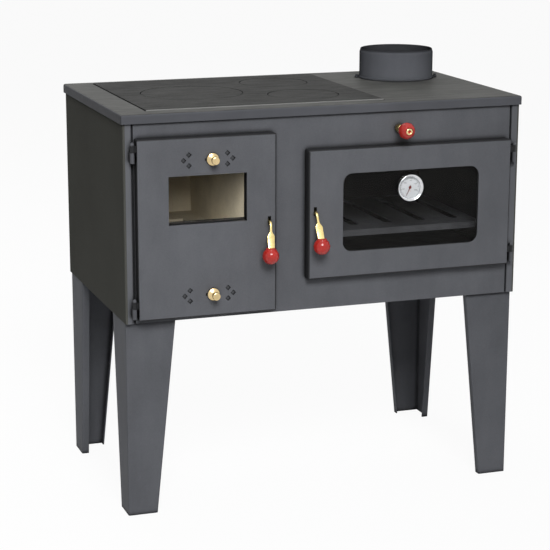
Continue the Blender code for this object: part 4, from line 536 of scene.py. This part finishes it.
def tube(points, radius, sides):
    """A closed loop of round section along its points."""
    shape = bmesh.new()
    rings = []
    count = len(points)
    for index, point in enumerate(points):
        run = (points[(index + 1) % count] - points[index - 1]).normalized()
        across = run.cross(BACK)
        across = across.normalized() if across.length > 0.1 else Vector((1, 0, 0))
        up = across.cross(run)
        ring = []
        for side in range(sides):
            angle = 2 * math.pi * side / sides
            spot = point + across * radius * math.cos(angle)
            ring.append(shape.verts.new(spot + up * radius * math.sin(angle)))
        rings.append(ring)
    for first, second in zip(rings, rings[1:] + rings[:1]):
        for side in range(sides):
            after = (side + 1) % sides
            shape.faces.new((first[side], first[after], second[after], second[side]))
    return shape


def middle(node):
    """The middle of a node's box, and the box's low and high corners."""
    low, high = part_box(node)
    return (low + high) / 2, low, high


# The balls in millimetres: radius, openings for the inserts at the far end, radius of the neck,
# and how far from the middle the neck's flat lies.
BALL = 15.5
BALL_MOUTH = 5.5
DAMPER_MOUTH = 7.2
BALL_NECK = 8.5
BALL_SEAT = 15.16
MOUTH_HEIGHT = math.sqrt(BALL**2 - BALL_MOUTH**2)


def ball_end(flip, mouth):
    """The far end of a ball: a rounded lip round the hole for its threaded insert."""
    lip, hollow = 0.7, 3
    start = math.degrees(math.acos((mouth + lip) / BALL))
    height = math.sqrt(BALL**2 - mouth**2) - lip
    points = [(0, height - hollow), (mouth, height - hollow), (mouth, height)]
    points += [(mouth + 0.2, height + 0.45), (mouth + 0.5, height + 0.5)]
    return [(radius, flip * up) for radius, up in points], start


def insert(flip, mouth):
    """The brass insert in a ball's far end: a rounded ring about its blind threaded bore."""
    top = math.sqrt(BALL**2 - mouth**2) - 0.1
    rim, bore = mouth - 0.4, mouth * 0.42
    points = [(0, top - 4.2), (bore, top - 4.0), (bore, top - 0.9)]
    points += [(bore + 0.4, top - 0.3), (bore + 1.1, top), (rim - 1.4, top - 0.1)]
    points += [(rim - 0.4, top - 0.7), (rim, top - 1.6), (rim, top - 4.5), (0, top - 4.5)]
    return turned([(radius, flip * up) for radius, up in points], 48)


def latch_ball(door):
    """A latch lever's ball, hanging from the lever's foot with its insert below."""
    node = f"{door}_latch_knob"
    centre, low, _ = middle(node)
    place = Vector((centre.x, centre.y, low.z + MOUTH_HEIGHT * MM))
    neck = math.degrees(math.acos(BALL_NECK / BALL))
    points, end = ball_end(-1, BALL_MOUTH)
    profile = [(0, BALL_SEAT), (BALL_NECK - 0.5, BALL_SEAT), (BALL_NECK - 0.1, BALL_SEAT - 0.2)]
    profile += [(BALL_NECK, BALL_SEAT - 0.7), (BALL_NECK + 0.1, BALL_SEAT - 1.8)]
    profile += arc(0, 0, BALL, neck - 2, -end, 22)
    profile += points[::-1]
    finished(node, moved(turned(profile), place), KNOB_RED, node)
    brass = moved(insert(-1, BALL_MOUTH), place)
    finished(f"{door}_latch_insert", brass, KNOB_BRASS, node, False)


def damper_ball():
    """The damper's ball, on the end of its rod with the insert in front."""
    node = "damper_knob"
    centre, low, high = middle(node)
    place = Vector((centre.x, low.y + MOUTH_HEIGHT * MM, centre.z))
    points, start = ball_end(1, DAMPER_MOUTH)
    flat = (high.y - place.y) / MM
    profile = points + arc(0, 0, BALL, start, -63, 26) + [(6.0, -flat), (0, -flat)]
    finished(node, moved(turned(profile), place, True), KNOB_RED, node)
    brass = moved(insert(1, DAMPER_MOUTH), place, True)
    finished("damper_insert", brass, KNOB_BRASS, node, False)


def air_knob(row):
    """A turned brass knob: a flange on the door, a neck and a round cap with a soft edge."""
    node = f"{row}_air_knob"
    centre, low, _ = middle(node)
    length, cap_edge = 22.5, 2.2
    place = Vector((centre.x, low.y + length * MM, centre.z))
    profile = [(0, length), (4.9, length), (5.6, 22.35)] + arc(5.3, 20.3, cap_edge, 75, 0, 5)
    profile += [(7.5, 16.9), (7.2, 16.2), (4.6, 14.6), (4.2, 14.1), (4.2, 6.6), (4.6, 6.0)]
    profile += [(10.4, 3.5), (11.1, 3.1), (11.45, 2.6), (11.5, 2.2), (11.5, 0.6), (11.2, 0.3)]
    profile += [(2.0, 0.3), (2.0, -4.2), (0, -4.2)]
    finished(node, moved(turned(profile), place, True), KNOB_BRASS, node)


def damper_ferrule():
    """The brass bush in the front sheet that the damper's rod runs through."""
    node = "damper_ferrule"
    centre, _, high = middle(node)
    spigot = 3.0
    place = Vector((centre.x, high.y - spigot * MM, centre.z))
    profile = [(4.1, 14.4), (4.5, 14.9), (7.2, 15.0), (7.9, 14.7), (8.2, 14.1), (8.2, 1.0)]
    profile += [(8.0, 0.3), (6.5, 0.3), (6.5, -spigot), (4.1, -spigot)]
    finished(node, moved(turned(profile, closed=True), place, True), FERRULE_BRASS, node)


LUG_TURNS = (165, -15)
BOLT_RADIUS = 81.0


def flue_collar():
    """Collar with a drawn-in rim and a bead at its foot, held by two lugs with hexagon bolts."""
    node = "flue_collar"
    low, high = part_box(node)
    outer, foot, inner, seam = 75.0, 77.5, 72.0, 0.3
    lug_near, lug_far = 76.0 * MM, 80.0 * MM
    place = Vector(((low.x + high.x) / 2, high_middle_y(node), low.z - seam * MM))
    profile = [(70.2, 59.3), (70.5, 59.8), (71.0, 60.0), (72.4, 60.0), (72.9, 59.8), (73.2, 59.3)]
    profile += [(73.9, 56.5), (74.6, 54.6), (74.9, 53.6), (outer, 52.6), (outer, 6.2)]
    profile += [(75.3, 4.9), (76.0, 3.9), (76.9, 3.4), (77.3, 3.1), (foot, 2.6), (foot, 0.5)]
    profile += [(77.3, seam), (inner, seam), (inner, 52.6), (71.7, 54.2)]
    shapes = [turned(profile, 128, closed=True)]
    for turn in LUG_TURNS:
        lug = turned([(0, 1.9), (4.6, 1.9), (5.0, 1.5), (5.0, seam), (0, seam)], 32)
        for vert in lug.verts:
            vert.co.y *= 1.4
            vert.co.x = vert.co.x * 0.9 + (lug_far if vert.co.x > 0 else lug_near)
        washer = turned([(0, 3.0), (4.1, 3.0), (4.4, 2.7), (4.4, 1.9), (0, 1.9)], 32)
        bolt = turned([(0, 6.5), (2.6, 6.5), (3.0, 6.1), (3.0, 3.0), (0, 3.0)], 6)
        for piece in (washer, bolt):
            piece.transform(Matrix.Translation((BOLT_RADIUS * MM, 0, 0)))
        for piece in (lug, washer, bolt):
            piece.transform(Matrix.Rotation(math.radians(turn), 4, "Z"))
            shapes.append(piece)
    return finished(node, moved(merged(shapes), place), COLLAR_ENAMEL, node)


def high_middle_y(node):
    """The middle of a round node's rim from front to back, from its highest points."""
    points = [vertex.co for vertex in frame["nodes"][node].data.vertices]
    top = max(point.z for point in points)
    rim = [point.y for point in points if point.z > top - 0.1 * MM]
    return (min(rim) + max(rim)) / 2


def lid(node, radius):
    """A stepped lid with a rounded rim, ground on top."""
    centre, _, high = middle(node)
    place = Vector((centre.x, centre.y, high.z))
    round_off, thick, deep, step = 0.9, 4.5, 9, radius - 7.5
    profile = [(0, 0), (radius - 1.2, 0)] + arc(radius - round_off, -round_off, round_off, 90, 0, 4)
    profile += [(radius, -thick), (step, -thick), (step, -deep), (0, -deep)]
    finished(node, moved(turned(profile, 96), place), LID_IRON, node)


def hinge_pin(door, row):
    """A hinge's pin with its domed head, let into the eyes."""
    node = f"{door}_hinge_pin_{row}"
    centre, _, high = middle(node)
    place = Vector((centre.x, centre.y, high.z))
    dome = 4
    profile = [(0, 0)] + arc(0, -dome, dome, 90, 0, 7)[1:]
    profile += [(dome, -5.7), (3.7, -6), (2.5, -6), (2.5, -38), (0, -38)]
    finished(node, moved(turned(profile, 32), place), HINGE_ENAMEL, node)


# A latch lever in millimetres: how far its ball hangs below the pivot, and its sections from the
# hook at the rear to the foot on the ball. Each section gives its distance behind the pivot, its
# height over it, the turn of its run in degrees, its width and its thickness.
BALL_DROP = 59.8
LEVER_HOOK = (
    (28.0, -0.5, 0, 3.0, 6.0),
    (26.0, 0.0, 0, 4.6, 8.0),
    (16.5, 0.0, 0, 4.6, 8.0),
    (15.0, -0.9, 0, 4.6, 6.2),
    (8.0, -0.9, 0, 4.6, 6.2),
    (5.5, 0.0, 0, 4.6, 8.5),
    (-5.5, 0.0, 0, 4.6, 8.5),
    (-7.6, 0.0, 0, 4.6, 7.8),
)
LEVER_BLADE = (
    (-12.0, -0.2, 5, 4.3, 7.3),
    (-16.0, -2.2, 40, 4.3, 6.2),
    (-18.8, -7.0, 70, 4.3, 5.0),
    (-21.2, -15.0, 76, 4.5, 4.0),
    (-22.2, -19.0, 78, 7.6, 3.6),
    (-23.6, -24.0, 78, 13.8, 3.4),
    (-27.0, -33.7, 76, 13.6, 3.4),
    (-31.8, -44.3, 90, 12.5, 3.4),
)


def between(rows, steps):
    """Rows of numbers with more rows between them, on a smooth curve through all."""
    padded = [rows[0]] + list(rows) + [rows[-1]]
    result = []
    for before, first, second, after in zip(padded, padded[1:], padded[2:], padded[3:]):
        for step in range(steps):
            t = step / steps
            row = []
            for p0, p1, p2, p3 in zip(before, first, second, after):
                bend = (p2 - p0) * t
                bend += (2 * p0 - 5 * p1 + 4 * p2 - p3) * t**2
                bend += (3 * p1 - p0 - 3 * p2 + p3) * t**3
                row.append(p1 + bend / 2)
            result.append(row)
    return result + [list(rows[-1])]


def section(width, thick, corner):
    """A rectangle with round corners, as sixteen points."""
    corner = min(corner, width / 2.2, thick / 2.2)
    points = []
    for x_side, z_side, start in ((1, 1, 0), (-1, 1, 90), (-1, -1, 180), (1, -1, 270)):
        x, z = x_side * (width / 2 - corner), z_side * (thick / 2 - corner)
        for step in range(4):
            angle = math.radians(start + 30 * step)
            points.append((x + corner * math.cos(angle), z + corner * math.sin(angle)))
    return points


def latch_lever(door, lean):
    """The lever, cast in brass: hook and arm behind the door's skin, neck and broad blade in front.

    lean is how far to the side its ball hangs.
    """
    node = f"{door}_latch_lever"
    pivot = PIVOT[f"{door}_latch_pivot"]
    rows = [list(row) for row in LEVER_HOOK] + between(LEVER_BLADE, 5)
    shape = bmesh.new()
    rings = []
    for behind, over, slope, width, thick in rows:
        angle = math.radians(slope)
        through = Vector((0, -math.sin(angle), math.cos(angle)))
        spot = Vector((lean * max(0.0, -over) / BALL_DROP, behind, over))
        ring = []
        for across, up in section(width, thick, 1.0):
            edge = spot + Vector((across, 0, 0)) + through * up
            ring.append(shape.verts.new(pivot + edge * MM))
        rings.append(ring)
    for first, second in zip(rings, rings[1:]):
        for index in range(len(first)):
            after = (index + 1) % len(first)
            shape.faces.new((first[index], first[after], second[after], second[index]))
    shape.faces.new(rings[0][::-1])
    shape.faces.new(rings[-1])
    finished(node, shape, LEVER_BRASS, node, crease=50)


def seal_rope(door):
    """Seal rope: four strands twisted round each other along the door's channel."""
    node = f"{door}_door_rope"
    centre, low, high = middle(node)
    lay, strand, corner, inset = 2.1 * MM, 2.0 * MM, 6.0 * MM, 4.2 * MM
    corner_steps, pace, pitch, count = 8, 1.6, 17, 4
    left, right, bottom, top = low.x + inset, high.x - inset, low.z + inset, high.z - inset
    corners = (
        (right - corner, top - corner, 0),
        (left + corner, top - corner, 90),
        (left + corner, bottom + corner, 180),
        (right - corner, bottom + corner, 270),
    )
    spots = []
    for x, z, start in corners:
        at = Vector((x, 0, z))
        for step in range(corner_steps + 1):
            angle = math.radians(start + 90 * step / corner_steps)
            across, up = corner * math.cos(angle), corner * math.sin(angle)
            spots.append(Vector((at.x + across, centre.y, at.z + up)))
    points = []
    for index, spot in enumerate(spots):
        after = spots[(index + 1) % len(spots)]
        parts = max(1, round((after - spot).length / (pace * MM)))
        points += [spot.lerp(after, step / parts) for step in range(parts)]
    total = len(points)
    turns = round(total * pace / pitch)
    strands = []
    for which in range(count):
        line = []
        for index, point in enumerate(points):
            run = (points[(index + 1) % total] - points[index - 1]).normalized()
            angle = 2 * math.pi * (turns * index / total + which / count)
            spot = point + run.cross(BACK) * lay * math.cos(angle)
            line.append(spot + BACK * lay * math.sin(angle))
        strands.append(tube(line, strand, 6))
    finished(node, merged(strands), SEAL_ROPE, node, crease=80)


NEEDLE_REST = 205
DIAL_SWEEP = 270
DIAL_STEPS = 50
PRINT_HEIGHT = 5.39 * MM
SCREW_ROWS = (0.07, 0.36, 0.64, 0.93)


def thermometer():
    """Cup with a funnelled bezel, a white dial with its divisions and numbers, and the stem."""
    node = "thermometer_case"
    low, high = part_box(node)
    x, z = (low.x + high.x) / 2, (low.z + high.z) / 2
    bezel, mark_end, number_ring = 11.5, 18.6, 13.2
    place = Vector((x, low.y + bezel * MM, z))
    profile = [(0, 5.8), (1.0, 5.8), (1.0, 5.0), (20.0, 5.0), (20.0, 8.5), (20.2, 8.9)]
    profile += [(23.6, 11.25), (24.0, 11.45), (24.5, bezel), (25.0, 11.35), (25.35, 11.0)]
    profile += [(25.5, 10.5), (25.5, 0.3), (25.2, 0), (4.4, 0), (4.4, -4.0), (3.0, -4.0)]
    profile += [(3.0, -47.5), (2.2, -49), (0, -49)]
    finished(node, moved(turned(profile, 96), place, True), BRIGHT_STEEL, node)
    card = [(1.3, 5.12), (1.3, 5.3), (19.7, 5.3), (19.9, 5.2), (19.9, 5.12)]
    card = moved(turned(card, 96, closed=True), place, True)
    finished("dial_card", card, DIAL_WHITE, node, False)
    marks = []
    for step in range(DIAL_STEPS + 1):
        size, wide = (2.4, 0.55) if step % 5 == 0 else (1.2, 0.28)
        turn = step * DIAL_SWEEP / DIAL_STEPS + NEEDLE_REST
        marks.append(dial_mark(turn, mark_end - size, mark_end, wide))
    finished("dial_divisions", moved(merged(marks), place, True), DIAL_INK, node, False)
    for hundreds in range(6):
        turn = math.radians(hundreds * DIAL_SWEEP / 5 + NEEDLE_REST)
        spot = Vector((number_ring * math.sin(turn), number_ring * math.cos(turn), 0)) * MM
        number(str(hundreds * 100), spot, 3.4 * MM, place, DIAL_INK, node)
    number("C", Vector((1.6, -7.0, 0)) * MM, 3.6 * MM, place, DIAL_RED, node)
    ring = turned([(0.5, 5.36), (0.5, 5.42), (0.8, 5.42), (0.8, 5.36)], 20, closed=True)
    ring.transform(Matrix.Translation(Vector((-0.6, -5.9, 0)) * MM))
    finished("dial_degree", moved(ring, place, True), DIAL_RED, node, False)


def dial_mark(turn, near, far, wide):
    """One division of the dial: a thin bar at a turn clockwise from the top."""
    shape = bmesh.new()
    bmesh.ops.create_cube(shape, size=1)
    length = (far - near) * MM
    shape.transform(Matrix.Diagonal((wide * MM, length, 0.06 * MM, 1)))
    shape.transform(Matrix.Translation((0, (near + far) / 2 * MM, PRINT_HEIGHT)))
    shape.transform(Matrix.Rotation(math.radians(-turn), 4, "Z"))
    return shape


def number(words, spot, size, place, finish, node):
    """Words printed on the dial, as a thin mesh."""
    script = bpy.data.curves.new("dial_print", "FONT")
    script.body = words
    script.size = size
    script.align_x = script.align_y = "CENTER"
    script.extrude = 0.03 * MM
    script.resolution_u = 2
    guide = bpy.data.objects.new("dial_print", script)
    bpy.context.scene.collection.objects.link(guide)
    graph = bpy.context.evaluated_depsgraph_get()
    mesh = bpy.data.meshes.new_from_object(guide.evaluated_get(graph))
    shape = bmesh.new()
    shape.from_mesh(mesh)
    bpy.data.objects.remove(guide)
    bpy.data.curves.remove(script)
    bpy.data.meshes.remove(mesh)
    shape.transform(Matrix.Translation(spot + Vector((0, 0, PRINT_HEIGHT))))
    finished(f"dial_number_{words}", moved(shape, place, True), finish, node, False)


def casing_screws():
    """Flanged hexagon screws that hold the back sheet to the folds of the side sheets."""
    low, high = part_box("left_side_panel")
    field_low, field_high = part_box("back_panel")
    inset, lift = 11 * MM, 0.05 * MM
    shapes = []
    for side in (-1, 1):
        for share in SCREW_ROWS:
            z = field_low.z + (field_high.z - field_low.z) * share
            flange = turned([(0, 0.9), (4.2, 0.9), (4.6, 0.5), (4.6, 0), (0, 0)], 32)
            head = turned([(0, 3.2), (2.7, 3.2), (3.1, 2.8), (3.1, 0.8), (0, 0.8)], 6)
            place = Vector((side * (-low.x - inset), high.y + lift, z))
            turn = Matrix.Rotation(-math.pi / 2, 4, "X")
            for shape in (flange, head):
                shape.transform(Matrix.Translation(place) @ turn)
                shapes.append(shape)
    finished("casing_screws", merged(shapes), BOLT_ZINC, "back_panel", False)


for side in ("fire", "oven"):
    latch_ball(side)
    seal_rope(side)
    for level in ("upper", "lower"):
        hinge_pin(side, level)
latch_lever("fire", -5.0)
latch_lever("oven", 5.0)
air_knob("upper")
air_knob("lower")
damper_ball()
damper_ferrule()
COLLAR = flue_collar()
lid("large_lid", 98.0)
lid("rear_lid", 67.5)
lid("front_lid", 67.5)
thermometer()
casing_screws()


# The camera found for the photograph: the picture's side, the focal length and the aim in pixels,
# the eye's place in metres and its turn in radians.
PHOTO = 550
FOCAL = 1809.95
AIM_X, AIM_Y = 253.44, 287.04
EYE = (-1.1901, -3.3258 + KNOB_REACH / 2, 1.2307)
EYE_TURN = (1.3296, 0.0009, -0.3252)
SENSOR = 36


def camera():
    """The photograph's view."""
    lens = bpy.data.cameras.new("photo_camera")
    lens.sensor_width = SENSOR
    lens.lens = SENSOR * FOCAL / PHOTO
    lens.shift_x = (PHOTO / 2 - AIM_X) / PHOTO
    lens.shift_y = (AIM_Y - PHOTO / 2) / PHOTO
    lens.clip_start = 0.05
    eye = bpy.data.objects.new("photo_camera", lens)
    eye.location = EYE
    eye.rotation_euler = EYE_TURN
    bpy.context.scene.collection.objects.link(eye)
    bpy.context.scene.camera = eye


def lamp(name, place, aim, size, power, colour=(1, 1, 1), spread=180, only=()):
    """A soft box that lights everything, or only some pieces."""
    light = bpy.data.lights.new(name, "AREA")
    light.shape = "RECTANGLE"
    light.size, light.size_y = size
    light.energy = power
    light.color = colour
    light.spread = math.radians(spread)
    box = bpy.data.objects.new(name, light)
    box.location = place
    box.rotation_euler = (Vector(aim) - Vector(place)).to_track_quat("-Z", "Y").to_euler()
    bpy.context.scene.collection.objects.link(box)
    if only:
        lit = bpy.data.collections.new(name)
        for piece in only:
            lit.objects.link(piece)
        box.light_linking.receiver_collection = lit


def seen_directly(tree):
    """One for what the camera sees, straight or through glass or in a mirror, else nought."""
    path = tree.nodes.new("ShaderNodeLightPath")
    share = path.outputs["Is Camera Ray"]
    for ray in ("Is Glossy Ray", "Is Transmission Ray"):
        either = tree.nodes.new("ShaderNodeMath")
        either.operation = "MAXIMUM"
        tree.links.new(share, either.inputs[0])
        tree.links.new(path.outputs[ray], either.inputs[1])
        share = either.outputs[0]
    return share


def studio():
    """White floor and surroundings, and the lamps round the stove."""
    scene = bpy.context.scene
    scene.view_settings.view_transform = "Standard"
    world = bpy.data.worlds.new("studio")
    world.use_nodes = True
    tree = world.node_tree
    background = tree.nodes["Background"]
    background.inputs["Color"].default_value = (1, 1, 1, 1)
    strength = tree.nodes.new("ShaderNodeMapRange")
    tree.links.new(seen_directly(tree), strength.inputs["Value"])
    strength.inputs["To Min"].default_value = AMBIENT
    strength.inputs["To Max"].default_value = 1.0
    tree.links.new(strength.outputs[0], background.inputs["Strength"])
    scene.world = world
    bpy.ops.mesh.primitive_plane_add(size=30, location=(0, 0, -0.0005))
    floor = bpy.context.object
    floor.name = "floor"
    paper = Finish("floor_paper", Roughness=0.9, Specular_IOR_Level=0.0)
    paper.set(Base_Color=paper.blend(paper.noise(3), (0.86, 0.86, 0.86), (0.9, 0.9, 0.9)))
    glow = paper.node("ShaderNodeEmission", None, {"Color": (1, 1, 1), "Strength": 1.0})
    share = Value(paper, seen_directly(paper.tree)) * FLOOR_GLOW
    lit = Value(paper, paper.shader.outputs[0])
    mixed = paper.node("ShaderNodeMixShader", None, {0: share, 1: lit, 2: glow})
    paper.tree.links.new(mixed.socket, paper.tree.nodes["Material Output"].inputs["Surface"])
    floor.data.materials.append(paper.material)
    bricks = [frame["nodes"][node] for node in BRICK_NODES]
    cool, warm = (0.98, 0.99, 1), (1, 0.98, 0.94)
    lamp("key", (-0.8, -3.2, 2.9), (-0.42, -0.2, 0.58), (2.0, 1.5), 16, cool, spread=50)
    lamp("chamber", (-1.9, -1.95, 1.5), (-0.1, 0, 0.5), (2.4, 1.2), 74, warm, only=bricks)
    lamp("hearth", (-0.7, -3.4, 1.9), (-0.2, 0, 0.55), (1.2, 0.9), 42, warm, only=bricks)
    lamp("collar", (-0.75, -3.0, 1.4), (0.2, 0.05, 0.79), (0.9, 0.9), 190, cool, only=(COLLAR,))
    lamp("top", (0.1, -0.5, 3.2), (0, 0, HOB_TOP), (1.6, 1.2), 5)
    lamp("rear", (-0.4, 2.8, 3.2), (0, 0, 0.5), (1.6, 1.2), 38)


camera()
studio()
